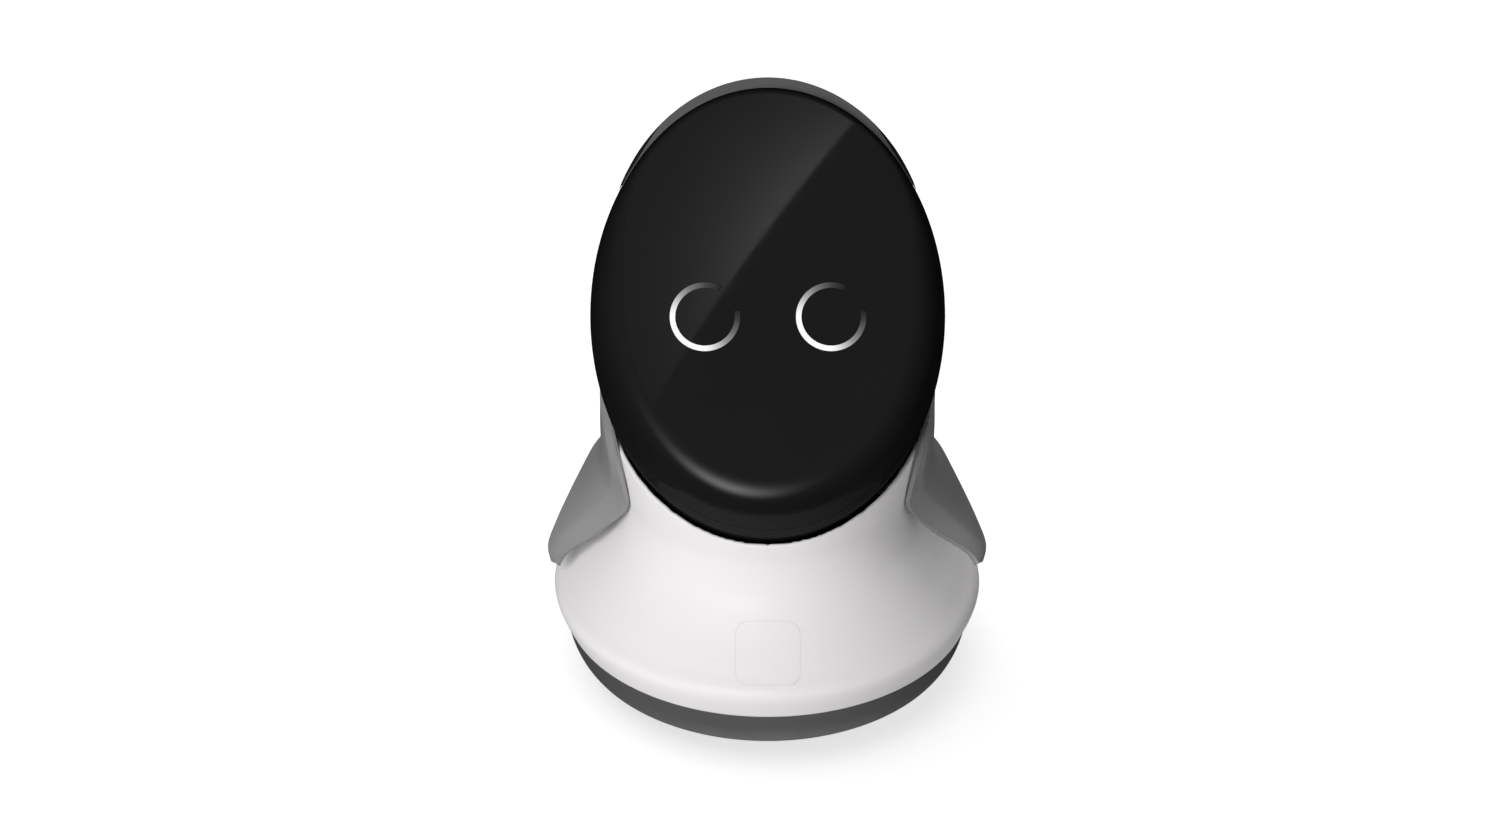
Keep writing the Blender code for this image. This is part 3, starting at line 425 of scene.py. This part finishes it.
def make_materials():
    white, grey, charcoal = (0.86, 0.84, 0.84), (0.285, 0.285, 0.287), (0.080, 0.080, 0.082)
    black = (0.0078, 0.0075, 0.0075)
    mats = {
        "white_gloss": moulded("white_gloss", white, 0.30, 0.03, 260, 0.000010, 0.008,
                               Specular_IOR_Level=0.25).grazing(2.0),
        "grey_satin": moulded("grey_satin", grey, 0.36, 0.04, 1600, 0.000025, 0.02),
        "face_black": moulded("face_black", black, 0.025, 0.008, 90, 0.0000005, 0.1).grazing(4.0),
        "dark_satin": moulded("dark_satin", (0.105, 0.105, 0.106), 0.38, 0.04, 1600, 0.000025, 0.02),
        "charcoal": moulded("charcoal", charcoal, 0.42, 0.05, 1300, 0.00004, 0.06),
        "tyre": worn_rubber(),
        "steel": brushed("steel", (0.52, 0.53, 0.55), 0.30),
        "aluminium": brushed("aluminium", (0.60, 0.61, 0.62), 0.38),
        "brass": brushed("brass", (0.74, 0.55, 0.26), 0.25),
        "board": circuit_board(),
        "battery_wrap": moulded("battery_wrap", (0.03, 0.05, 0.12), 0.3, 0.05, 140, 0.0001, 0.1),
        "eye_light": eye_glow(),
    }
    return {name: shader.mat for name, shader in mats.items()}


# ---------------------------------------------------------------- the head's socket

def in_socket(point, extra=0.0):
    """Whether a point is inside the space that the nodding head sweeps."""
    local = Matrix.Rotation(-FACE_TILT, 3, "X") @ (Vector(point) - PIVOT)
    wide = HEAD_RADIUS + SOCKET_CLEARANCE + extra
    deep = wide if local.z > 0 else SOCKET_REAR + extra
    narrow = HEAD_HALF_WIDTH + SOCKET_CLEARANCE + extra
    return (local.x / narrow) ** 2 + (local.y / wide) ** 2 + (local.z / deep) ** 2 < 1


def rim_height(curve, wall, angle, low, high):
    """Height at which a turned wall runs into the head's socket, or its own top."""
    steps = 160
    for k in range(steps + 1):
        z = low + (high - low) * k / steps
        outside = radius_at(curve, z)
        if any(in_socket((r * math.sin(angle), -r * math.cos(angle), z), RIM_MARGIN)
               for r in (outside, outside - wall)):
            return z
    return high


# ---------------------------------------------------------------- body shells

def shell_section(curve, wall, bottom, top, runs):
    """A thin wall's outline from its bottom edge up the outside, round the rim and down the inside."""
    round_edge = wall * 0.42
    points = []
    for k in range(runs + 1):
        z = bottom + EDGE + (top - round_edge - bottom - EDGE) * k / runs
        points.append((radius_at(curve, z), z))
    rim_steps = 8
    centre_r, centre_z = points[-1][0] - wall / 2, points[-1][1]
    for k in range(1, rim_steps):
        a = math.pi * k / rim_steps
        points.append((centre_r + wall / 2 * math.cos(a), centre_z + round_edge * math.sin(a)))
    for k in range(runs, -1, -2):
        r, z = points[k]
        points.append((r - wall, z))
    r0, r1 = points[0][0], points[-1][0]
    points.append((r1 + EDGE, bottom))
    points.append((r0 - EDGE, bottom))
    return points


def turned_wall(name, curve, wall, bottom, top, angles, wrap, runs=64):
    """A wall around Z whose rim follows the head's socket."""
    columns = []
    for angle in angles:
        rim = rim_height(curve, wall, angle, bottom + 0.05, top)
        section = shell_section(curve, wall, bottom, rim, runs)
        columns.append([(r * math.sin(angle), -r * math.cos(angle), z) for r, z in section])
    bm = bmesh.new()
    made = [[bm.verts.new(p) for p in column] for column in columns]
    pairs = list(zip(made, made[1:])) + ([(made[-1], made[0])] if wrap else [])
    for one, two in pairs:
        for k in range(len(one)):
            n = (k + 1) % len(one)
            bm.faces.new((one[k], two[k], two[n], one[n]))
    if not wrap:
        bm.faces.new(made[0])
        bm.faces.new(made[-1][::-1])
    return add_object(name, bm)


def skirt(mats):
    curve = [(p.x, p.y) for p in curve_through(SKIRT_CURVE, 16)]
    angles = [2 * math.pi * k / SEGMENTS for k in range(SEGMENTS)]
    shell = turned_wall("skirt", curve, WALL, SEAM_Z, SKIRT_CURVE[-1][1], angles, True)
    hatch = shell.copy()
    hatch.data = shell.data.copy()
    hatch.name = "hatch_panel"
    bpy.context.scene.collection.objects.link(hatch)
    radius = radius_at(curve, HATCH_Z)
    slope = (radius_at(curve, HATCH_Z - 0.01) - radius_at(curve, HATCH_Z + 0.01)) / 0.02
    tilt = math.pi / 2 - math.atan(slope)
    for piece, half, operation in ((shell, HATCH_SIZE / 2 + HATCH_GAP, "DIFFERENCE"),
                                   (hatch, HATCH_SIZE / 2, "INTERSECT")):
        post = rounded_post("post", half, HATCH_CORNER, HATCH_REACH)
        post.location = (0, -radius, HATCH_Z)
        post.rotation_euler = (tilt, 0, 0)
        combine(piece, post, operation)
    show(shell, "body", "white_gloss", mats["white_gloss"], "skirt_shell")
    show(hatch, "body", "white_gloss", mats["white_gloss"], "front_hatch")


def bowl(mats):
    curve = [(p.x, p.y) for p in curve_through(BOWL_CURVE, 12)]
    floor = BOWL_CURVE[-1][1]
    outer = [(BOWL_CURVE[0][0] - EDGE, BOWL_CURVE[0][1])] + curve[1:]
    inner = [(max(r - WALL, 0), max(z, floor + WALL)) for r, z in curve[::4]]
    outline = [(0, floor + WALL)] + inner[::-1] + outer + [(FLOOR_EDGE, floor), (0, floor)]
    piece = lathe("bowl", outline)
    for side in (-1, 1):
        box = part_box("drive_tyre_left" if side > 0 else "drive_tyre_right")
        low, high = Vector(box[0]), Vector(box[1])
        slot = cube("slot", (low.x - WHEEL_ROOM_X, low.y - WHEEL_ROOM_Y, 0),
                    (high.x + WHEEL_ROOM_X, high.y + WHEEL_ROOM_Y, FLOOR_CUT))
        combine(piece, slot)
        y = side * CASTER_Y
        combine(piece, cylinder("hole", CASTER_HOLE, (0, y, 0), (0, y, FLOOR_CUT), 96))
    for name in ("battery_door", "charge_contact_left", "charge_contact_right", "cliff_sensor_left",
                 "cliff_sensor_right"):
        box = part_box(name)
        grow = Vector((0.0003, 0.0003, 0.004))
        combine(piece, cube("hole", Vector(box[0]) - grow, Vector(box[1]) + grow))
    show(piece, "body", "charcoal", mats["charcoal"], "base_bowl")


def rear_shell(mats):
    curve = [(p.x, p.y) for p in curve_through(REAR_CURVE[::-1], 10)]
    edge = math.pi - math.acos(FIN_REAR_Y / REAR_CURVE[1][0])
    steps = 150
    angles = [edge + (2 * math.pi - 2 * edge) * k / steps for k in range(steps + 1)]
    piece = turned_wall("rear_cover", curve, REAR_WALL, REAR_CURVE[-1][1], REAR_CURVE[0][1], angles,
                        False, 40)
    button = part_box("power_button")
    z = (button[0][2] + button[1][2]) / 2
    radius = (button[1][0] - button[0][0]) / 2 + BUTTON_GAP
    combine(piece, cylinder("hole", radius, (0, 0.10, z), (0, 0.13, z), 64))
    for row in range(GRILLE_SLOTS):
        low = GRILLE_LOW + GRILLE_STEP * row
        combine(piece, cube("slot", (-GRILLE_HALF, 0.09, low), (GRILLE_HALF, 0.14, low + GRILLE_HEIGHT),
                            0.0010))
    show(piece, "body", "grey_satin", mats["grey_satin"], "rear_shell")


# ---------------------------------------------------------------- fins

def fin_rows():
    """The fin's rows, made close together by a smooth curve through each edge."""
    steps = 10
    fronts = curve_through([row[0] for row in FIN_ROWS], steps)
    rears = curve_through([row[1] for row in FIN_ROWS], steps)
    bulges = curve_through([(row[2], 0, 0) for row in FIN_ROWS], steps)
    return [(front, rear, bulge.x) for front, rear, bulge in zip(fronts, rears, bulges)]


def fin_point(rows, u, v):
    """A point of the fin's face: u from front edge to rear edge, v from the rim to the tip."""
    place = v * (len(rows) - 1)
    k = min(int(place), len(rows) - 2)
    t = place - k
    front = rows[k][0].lerp(rows[k + 1][0], t)
    rear = rows[k][1].lerp(rows[k + 1][1], t)
    bulge = rows[k][2] + (rows[k + 1][2] - rows[k][2]) * t
    chord = rear - front
    out = Vector((chord.y, -chord.x, 0)).normalized()
    return front + chord * u + out * bulge * math.sin(math.pi * u)


def border(point, v, front_edge):
    """How far the face falls away towards its front and lower edges, outside a soft crease."""
    away = min((point - p).length for p in front_edge)
    width = (BORDER_RIM + BORDER_CORNER * smoothstep((v - 0.25) / 0.27)
             - BORDER_LOSS * smoothstep((v - 0.62) / 0.3))
    short = 1 - away / width
    drop = BORDER_DROP * (1 - (1 - BORDER_TIP) * smoothstep((v - 0.80) / 0.12))
    if short < -CREASE:
        return 0.0
    if short > CREASE:
        return drop * short
    return drop * (short + CREASE) ** 2 / (4 * CREASE)


def fin(mats, side, word):
    rows = fin_rows()
    front_edge = [row[0] for row in rows[::3]]
    body = [(p.x, p.y) for p in curve_through(SKIRT_CURVE, 16)]
    starts = []
    for i in range(FIN_U + 1):
        start = 0.0
        while in_socket(fin_point(rows, i / FIN_U, start)):
            start += 0.002
        starts.append(start)
    grid = []
    for j in range(FIN_V + 1):
        places = [start + (1 - start) * j / FIN_V for start in starts]
        grid.append([(fin_point(rows, i / FIN_U, v), v) for i, v in enumerate(places)])
    normals = grid_normals([[p for p, _ in row] for row in grid])
    layers = {}
    for key, depth in (("face", 0.0), ("parting", FIN_PARTING), ("seam", FIN_PARTING + FIN_SEAM),
                       ("back", FIN_THICKNESS)):
        layer = []
        for row, normal_row in zip(grid, normals):
            line = []
            for (point, v), normal in zip(row, normal_row):
                sunk = border(point, v, front_edge) + depth
                line.append(off_body(point - normal * sunk, body))
            layer.append([Vector((side * p.x, p.y, p.z)) for p in line])
        layers[key] = layer
    for name, outer, inner in (("fin_face_", "face", "parting"), ("fin_back_", "seam", "back")):
        piece = plate(name + word, layers[outer], layers[inner])
        bevelled(piece, 0.00045)
        node = "fin_outer_" if outer == "face" else "fin_inner_"
        show(piece, "body", "grey_satin", mats["grey_satin"], node + word)


def off_body(point, body):
    """Keep a point clear of the skirt."""
    least = radius_at(body, point.z) + BODY_GAP
    radius = math.hypot(point.x, point.y)
    if radius >= least:
        return point
    return Vector((point.x * least / radius, point.y * least / radius, point.z))


def grid_normals(grid):
    """Unit normals of a grid of points, pointing away from the robot's axis."""
    last_row, last = len(grid) - 1, len(grid[0]) - 1
    normals = []
    for j, row in enumerate(grid):
        line = []
        for i, point in enumerate(row):
            across = row[min(i + 1, last)] - row[max(i - 1, 0)]
            down = grid[min(j + 1, last_row)][i] - grid[max(j - 1, 0)][i]
            normal = across.cross(down)
            if normal.dot(Vector((point.x, point.y, 0))) < 0:
                normal = -normal
            line.append(normal.normalized())
        normals.append(line)
    return normals


def plate(name, outer, inner):
    """A closed plate between two grids of points."""
    bm = bmesh.new()
    top = [[bm.verts.new(p) for p in row] for row in outer]
    low = [[bm.verts.new(p) for p in row] for row in inner]
    rows, columns = len(top), len(top[0])
    for j in range(rows - 1):
        for i in range(columns - 1):
            bm.faces.new((top[j][i], top[j][i + 1], top[j + 1][i + 1], top[j + 1][i]))
            bm.faces.new((low[j][i], low[j + 1][i], low[j + 1][i + 1], low[j][i + 1]))
    ring = [(0, i) for i in range(columns)] + [(j, columns - 1) for j in range(1, rows)]
    ring += [(rows - 1, i) for i in range(columns - 2, -1, -1)] + [(j, 0) for j in range(rows - 2, 0, -1)]
    for (j0, i0), (j1, i1) in zip(ring, ring[1:] + ring[:1]):
        bm.faces.new((top[j0][i0], low[j0][i0], low[j1][i1], top[j1][i1]))
    return add_object(name, bm)


# ---------------------------------------------------------------- head

def ball_run(offset, top, bottom, steps):
    """Points down the head's round side, between two heights along the face's normal."""
    radius, depth = HEAD_RADIUS - offset, HEAD_REAR_DEPTH - offset
    points = []
    for k in range(steps + 1):
        h = top + (bottom - top) * k / steps
        scale = radius if h >= 0 else depth
        points.append((radius * math.sqrt(max(0.0, 1 - (h / scale) ** 2)), h))
    return points


def face_profile(offset, steps, upper):
    """Flat face, a shoulder that turns slowly at first, then the ball down to the seam.

    upper runs from 0, for the wide shoulder at the sides and chin, to 1, for the crisp top edge.
    """
    start_r, side_top, start_pull, side_pull = [
        low + (high - low) * upper for low, high in zip(SHOULDER_LOW, SHOULDER_HIGH)]
    flat, side_top = FACE_HEIGHT - offset, side_top - offset * (0.5 + 0.4 * upper)
    radius, start_r = HEAD_RADIUS - offset, start_r - offset
    side_r = math.sqrt(radius ** 2 - side_top ** 2)
    slope = Vector((side_top, -side_r)).normalized()
    start, end = Vector((start_r, flat)), Vector((side_r, side_top))
    path = interpolate_bezier(start, start + Vector((start_pull, 0)), end - slope * side_pull, end, steps)
    points = [(0, flat), (start_r * 0.5, flat), (start_r - 0.0006, flat)]
    return points + [tuple(p) for p in path] + ball_run(offset, side_top, LENS_BACK, 20)[1:]


def face_shell():
    """The lens as a closed skin whose section changes from the chin to the top edge."""
    squeeze = HEAD_HALF_WIDTH / HEAD_RADIUS
    columns = []
    for k in range(SEGMENTS):
        angle = 2 * math.pi * k / SEGMENTS
        upper = smoothstep((-math.cos(angle) - SHOULDER_FROM) / (SHOULDER_TO - SHOULDER_FROM))
        outer = face_profile(0, 48, upper)
        outer[-1:] = [(outer[-1][0] - 0.0001, LENS_BACK + 0.0004), (outer[-1][0] - 0.0004, LENS_BACK)]
        outline = outer + face_profile(LENS_WALL, 12, upper)[::-1]
        columns.append([(r * math.sin(angle) * squeeze, -r * math.cos(angle), h) for r, h in outline])
    rows = [list(row) for row in zip(*columns)]
    rows[0], rows[-1] = rows[0][:1], rows[-1][:1]
    return skin("face_lens", rows, wrap_columns=True, smooth_angle=50)


def face(mats):
    glass = face_shell()
    for side, word in ((1, "left"), (-1, "right")):
        centre = Vector((side * EYE_X, -EYE_DROP, FACE_HEIGHT))
        groove = open_ring("groove", 0.00015, 0.001)
        groove.location = centre
        combine(glass, groove)
        ring = open_ring("eye_light_" + word, 0.0, 0.0)
        show(ring, "head", "eye_light", mats["eye_light"], "eye_ring_" + word)
        ring.matrix_world = (Matrix.Translation(PIVOT) @ Matrix.Rotation(FACE_TILT, 4, "X")
                             @ Matrix.Translation(centre))
    show(to_head(glass), "head", "face_black", mats["face_black"], "face_glass")


def open_ring(name, grow, above):
    """An open flat ring around its own centre, with its top at or above the face."""
    inner, outer = EYE_INNER - grow, EYE_OUTER + grow
    start, end = EYE_START - grow / inner, EYE_END + grow / inner
    low, high = -EYE_DEPTH - grow, above - (0.00003 if above == 0 else 0)
    steps = 120
    bm = bmesh.new()
    sections = []
    for k in range(steps + 1):
        a = start + (end - start) * k / steps
        corners = ((inner, low), (outer, low), (outer, high), (inner, high))
        sections.append([bm.verts.new((r * math.cos(a), r * math.sin(a), h)) for r, h in corners])
    for one, two in zip(sections, sections[1:]):
        for k in range(4):
            bm.faces.new((one[k - 1], one[k], two[k], two[k - 1]))
    bm.faces.new(sections[0])
    bm.faces.new(sections[-1][::-1])
    return add_object(name, bm)


def head_back(mats):
    top = LENS_BACK - LENS_GAP
    steps = 40
    squeeze = HEAD_HALF_WIDTH / HEAD_RADIUS

    def run(offset, count):
        radius, depth = HEAD_RADIUS - offset, HEAD_REAR_DEPTH - offset
        angles = [math.pi / 2 * (k + 1) / count for k in range(count)]
        points = ball_run(offset, top, 0, 8) + [(radius * math.cos(a), -depth * math.sin(a)) for a in angles]
        points[-1] = (0, -depth)
        return points

    outer = run(0, steps)
    outer[0:1] = [(outer[0][0] - 0.0004, top), (outer[0][0], top - 0.0004)]
    piece = to_head(lathe("head_back", run(LENS_WALL, 16)[::-1] + outer, narrow=squeeze, smooth_angle=50))
    combine(piece, cube("slot", *YOKE_SLOT))
    show(piece, "head", "face_black", mats["face_black"], "head_rear_shell")


def crown_height(angle):
    """Height of the crown over the ball, full in the middle and almost nothing at both ends."""
    share = max(0.0, 1 - (angle / CROWN_SPREAD) ** 2)
    return CROWN_TIP + CROWN_THICKNESS * share ** 0.6


def lip_height(angle):
    """Height of the grey lip: all of the crown in the middle, a thin line towards its ends."""
    part = smoothstep((abs(angle) - LIP_FULL) / (LIP_THIN - LIP_FULL))
    full = crown_height(angle)
    return full + (min(LIP_LINE, full) - full) * part


def crescent(name, front, back, inner, outer, round_edge):
    """A curved strip over the ball between two heights along the face's normal."""
    steps, layers = 140, 10
    squeeze = HEAD_HALF_WIDTH / HEAD_RADIUS
    bm = bmesh.new()
    sections = []
    for k in range(steps + 1):
        angle = CROWN_SPREAD * (2 * k / steps - 1)
        low, high = inner(angle), outer(angle)
        edge = min(round_edge, (high - low) * 0.35)
        section = []
        for j in range(5):
            a = math.pi / 2 * j / 4
            section.append((front - edge * (1 - math.cos(a)), high - edge * (1 - math.sin(a))))
        for j in range(1, layers + 1):
            h = front + (back - front) * j / layers
            fade = (CROWN_FRONT - h) / (CROWN_FRONT - CROWN_BACK)
            section.append((h, low + (high - low) * (1 - CROWN_LEAN * fade)))
        section += [(front + (back - front) * j / layers, low) for j in range(layers, -1, -1)]
        ring = []
        for h, lift in section:
            reach = math.sqrt(HEAD_RADIUS ** 2 - h ** 2) + lift
            ring.append(bm.verts.new((reach * math.sin(angle) * squeeze, reach * math.cos(angle), h)))
        sections.append(ring)
    for one, two in zip(sections, sections[1:]):
        for k in range(len(one)):
            bm.faces.new((one[k - 1], one[k], two[k], two[k - 1]))
    bm.faces.new(sections[0])
    bm.faces.new(sections[-1][::-1])
    return to_head(add_object(name, bm))


def crown(mats):
    """Hood over the face's top edge: a grey lip in front and a black cover behind it."""
    def floor(angle):
        return CROWN_LIFT
    lip_back = CROWN_FRONT - LIP_DEPTH
    lip = crescent("crown_lip", CROWN_FRONT, lip_back, floor, lip_height, 0.0006)
    hood = crescent("crown_hood", lip_back - 0.0001, CROWN_BACK, floor, crown_height, 0.0012)
    show(lip, "head", "dark_satin", mats["dark_satin"], "crown_trim")
    show(hood, "head", "face_black", mats["face_black"], "crown_trim")


# ---------------------------------------------------------------- underside

def tyre(mats, side, word):
    """Rubber tyre with a crowned face, shoulder and cross grooves."""
    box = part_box("drive_tyre_" + word)
    low, high = Vector(box[0]), Vector(box[1])
    centre = (low + high) / 2
    outer, half = (high.z - low.z) / 2, (high.x - low.x) / 2
    count = TYRE_BLOCKS * TYRE_STEPS
    half_profile = ((outer - MIDDLE_GROOVE, 0.06), (outer, 0.12), (outer, 0.55),
                    (outer - TYRE_SHOULDER, 0.80), (outer - TYRE_EDGE, 1.0), (TYRE_INNER, 1.0))
    profile = [(r, -x) for r, x in reversed(half_profile)] + list(half_profile)
    rows = []
    for r, x in profile:
        row = []
        for k in range(count):
            a = 2 * math.pi * (k + 2 * abs(x)) / count
            groove = CROSS_GROOVE if k % TYRE_STEPS == 0 and 0.1 < abs(x) < 0.9 else 0.0
            row.append((centre.x + x * half, centre.y + (r - groove) * math.sin(a),
                        centre.z + (r - groove) * math.cos(a)))
        rows.append(row)
    piece = skin("tyre_" + word, rows, wrap_rows=True, wrap_columns=True)
    show(piece, "wheel_" + word, "tyre", mats["tyre"], "drive_tyre_" + word)


def cad_materials(mats):
    """CAD nodes that keep their shape get the detailed material of their slot."""
    slots = {part["node"]: part["material_slot"] for part in frame["record"]["subparts"]}
    for name, obj in frame["nodes"].items():
        obj.data.materials.clear()
        obj.data.materials.append(mats[slots[name]])


# ---------------------------------------------------------------- studio

CAMERA_ELEVATION = math.radians(31.46)
CAMERA_TARGET = Vector((-0.0120, 0, 0.1974))
CAMERA_DISTANCE = 2.757

# light the surroundings send as (azimuth, elevation, sharpness, strength), in degrees, azimuth 0 in front
SOFT_LIGHT = ((0, -90, 2.2, 1.05), (-60, 20, 1.5, 0.06), (75, 5, 2.0, 0.14))
SOFT_BASE = 0.06
GLOSS_LIGHT = ((-11, 26, 54.0, 3.2), (-25, 55, 2.5, 0.12), (0, -90, 8.0, 0.9))
GLOSS_BASE = 0.02

# lamps as (azimuth, elevation), distance, power, size
KEY = (-27, 28), 3.0, 81, 2.0
REAR_FILL = (172, 12), 3.0, 62, 2.0
FLOOR_LIGHT = (-140, 66), 3.0, 1.2, math.radians(80)
FLOOR_GLOW, FLOOR_SIZE = 0.69, 12.0

# reflection card: its edge x = a + b y + c y2, where its glow is centred, the glow's direction
# across the edge, how far it runs along the edge and away from it, and its strength
CARD_DISTANCE, CARD_SIZE = 2.0, 1.1
CARD_EDGE = (-0.0825, 0.627, 0.43)
CARD_GLOW, CARD_LEAN = Vector((0.04, 0.17)), Vector((0.619, 0.785))
CARD_ALONG, CARD_AWAY, CARD_STRENGTH = 0.177, 0.060, 1.0


def heading(azimuth, elevation):
    a, e = math.radians(azimuth), math.radians(elevation)
    return Vector((math.sin(a) * math.cos(e), -math.cos(a) * math.cos(e), math.sin(e)))


class Maths:
    """Short ways to build sums of node values."""

    def __init__(self, tree):
        self.nodes, self.links = tree.nodes, tree.links

    def feed(self, socket, value):
        if isinstance(value, bpy.types.NodeSocket):
            self.links.new(value, socket)
        else:
            socket.default_value = value

    def do(self, operation, one, two=0.0):
        node = self.nodes.new("ShaderNodeMath")
        node.operation = operation
        self.feed(node.inputs[0], one)
        self.feed(node.inputs[1], two)
        return node.outputs["Value"]

    def dot(self, vector, fixed):
        node = self.nodes.new("ShaderNodeVectorMath")
        node.operation = "DOT_PRODUCT"
        self.feed(node.inputs[0], vector)
        node.inputs[1].default_value = fixed
        return node.outputs["Value"]

    def lobes(self, vector, base, lights):
        total = base
        for azimuth, elevation, sharpness, strength in lights:
            away = self.do("SUBTRACT", self.dot(vector, heading(azimuth, elevation)), 1.0)
            glow = self.do("EXPONENT", self.do("MULTIPLY", away, sharpness))
            total = self.do("ADD", self.do("MULTIPLY", glow, strength), total)
        return total


def surroundings():
    """White studio seen by matt surfaces, and a darker one with soft boxes seen by glossy ones."""
    world = bpy.data.worlds.new("studio")
    world.use_nodes = True
    tree = world.node_tree
    maths = Maths(tree)
    facing = tree.nodes.new("ShaderNodeTexCoord").outputs["Generated"]
    soft = maths.lobes(facing, SOFT_BASE, SOFT_LIGHT)
    gloss = maths.lobes(facing, GLOSS_BASE, GLOSS_LIGHT)
    glossy_ray = tree.nodes.new("ShaderNodeLightPath").outputs["Is Glossy Ray"]
    difference = maths.do("MULTIPLY", maths.do("SUBTRACT", gloss, soft), glossy_ray)
    tree.links.new(maths.do("ADD", soft, difference), tree.nodes["Background"].inputs["Strength"])
    tree.nodes["Background"].inputs["Color"].default_value = (1, 1, 1, 1)
    bpy.context.scene.world = world


def floor_plane():
    mesh = bpy.data.meshes.new("floor")
    corners = ((-1, -1), (1, -1), (1, 1), (-1, 1))
    mesh.from_pydata([(x * FLOOR_SIZE, y * FLOOR_SIZE, 0) for x, y in corners], [], [(0, 1, 2, 3)])
    floor = bpy.data.objects.new("floor", mesh)
    bpy.context.scene.collection.objects.link(floor)
    paper = Shader("floor_paper", (0.86, 0.86, 0.86), 0.9)
    paper.bsdf.inputs["Emission Color"].default_value = (1, 1, 1, 1)
    paper.bsdf.inputs["Emission Strength"].default_value = FLOOR_GLOW
    paper.bsdf.inputs["Specular IOR Level"].default_value = 0.0
    floor.data.materials.append(paper.mat)
    floor.visible_diffuse = False
    floor.visible_glossy = False
    return floor


def lamp(name, kind, settings, floor, on_floor):
    """A lamp that shines either on the floor only or on everything else."""
    direction, distance, power, size = settings
    aim = heading(*direction)
    light = bpy.data.lights.new(name, kind)
    light.energy = power
    if kind == "AREA":
        light.shape = "DISK"
        light.size = size
    else:
        light.angle = size
    obj = bpy.data.objects.new(name, light)
    bpy.context.scene.collection.objects.link(obj)
    obj.location = aim * distance + Vector((0, 0, 0.2))
    obj.rotation_euler = aim.to_track_quat("Z", "Y").to_euler()
    obj.visible_glossy = False
    chosen = bpy.data.collections.new(name + "_floor")
    chosen.objects.link(floor)
    obj.light_linking.receiver_collection = chosen
    if not on_floor:
        chosen.collection_objects[0].light_linking.link_state = "EXCLUDE"


def face_card():
    """A card that only glossy surfaces see: the flat face shows its straight edge and its glow."""
    normal = Vector((0, -math.sin(FACE_TILT), math.cos(FACE_TILT)))
    to_camera = Vector((0, -math.cos(CAMERA_ELEVATION), math.sin(CAMERA_ELEVATION)))
    aim = normal * 2 * normal.dot(to_camera) - to_camera
    up = (Vector((0, 0, 1)) - aim * aim.z).normalized()
    side = up.cross(aim).normalized()
    bm = bmesh.new()
    bmesh.ops.create_grid(bm, x_segments=1, y_segments=1, size=CARD_SIZE)
    card = add_object("face_card", bm)
    centre = PIVOT + normal * FACE_HEIGHT + aim * CARD_DISTANCE
    card.matrix_world = Matrix.Translation(centre) @ Matrix((side, up, aim)).transposed().to_4x4()

    mat = bpy.data.materials.new("face_card")
    mat.use_nodes = True
    tree = mat.node_tree
    tree.nodes.clear()
    maths = Maths(tree)
    place = tree.nodes.new("ShaderNodeTexCoord").outputs["Object"]
    x, y = maths.dot(place, (1, 0, 0)), maths.dot(place, (0, 1, 0))
    a, b, c = CARD_EDGE
    edge = maths.do("ADD", maths.do("MULTIPLY", maths.do("ADD", maths.do("MULTIPLY", y, c), b), y), a)
    beyond = maths.do("SUBTRACT", edge, x)
    along = maths.do("SUBTRACT", maths.dot(place, (*CARD_LEAN, 0)), CARD_LEAN.dot(CARD_GLOW))
    along = maths.do("DIVIDE", along, CARD_ALONG)
    away = maths.do("DIVIDE", maths.do("MULTIPLY", beyond, CARD_LEAN.y), CARD_AWAY)
    fall = maths.do("ADD", maths.do("MULTIPLY", along, along), maths.do("MAXIMUM", away, 0.0))
    glow = maths.do("EXPONENT", maths.do("MULTIPLY", fall, -1.0))
    glow = maths.do("MULTIPLY", glow, maths.do("GREATER_THAN", beyond, 0.0))
    emission = tree.nodes.new("ShaderNodeEmission")
    tree.links.new(maths.do("MULTIPLY", glow, CARD_STRENGTH), emission.inputs["Strength"])
    both = tree.nodes.new("ShaderNodeAddShader")
    tree.links.new(emission.outputs["Emission"], both.inputs[0])
    tree.links.new(tree.nodes.new("ShaderNodeBsdfTransparent").outputs["BSDF"], both.inputs[1])
    out = tree.nodes.new("ShaderNodeOutputMaterial")
    tree.links.new(both.outputs["Shader"], out.inputs["Surface"])
    card.data.materials.append(mat)
    card.visible_camera = False
    card.visible_diffuse = False
    card.visible_shadow = False


def studio():
    bpy.context.scene.view_settings.view_transform = "Standard"
    surroundings()
    floor = floor_plane()
    lamp("key", "AREA", KEY, floor, False)
    lamp("rear_fill", "AREA", REAR_FILL, floor, False)
    lamp("floor_light", "SUN", FLOOR_LIGHT, floor, True)
    face_card()


def camera():
    data = bpy.data.cameras.new("camera")
    data.lens = 96
    data.sensor_width = 36
    obj = bpy.data.objects.new("camera", data)
    bpy.context.scene.collection.objects.link(obj)
    back = Vector((0, -math.cos(CAMERA_ELEVATION), math.sin(CAMERA_ELEVATION)))
    obj.location = CAMERA_TARGET + back * CAMERA_DISTANCE
    obj.rotation_euler = (math.pi / 2 - CAMERA_ELEVATION, 0, 0)
    bpy.context.scene.camera = obj


def main():
    mats = make_materials()
    cad_materials(mats)
    skirt(mats)
    bowl(mats)
    rear_shell(mats)
    for side, word in ((1, "left"), (-1, "right")):
        fin(mats, side, word)
        tyre(mats, side, word)
    face(mats)
    head_back(mats)
    crown(mats)
    camera()
    studio()


main()
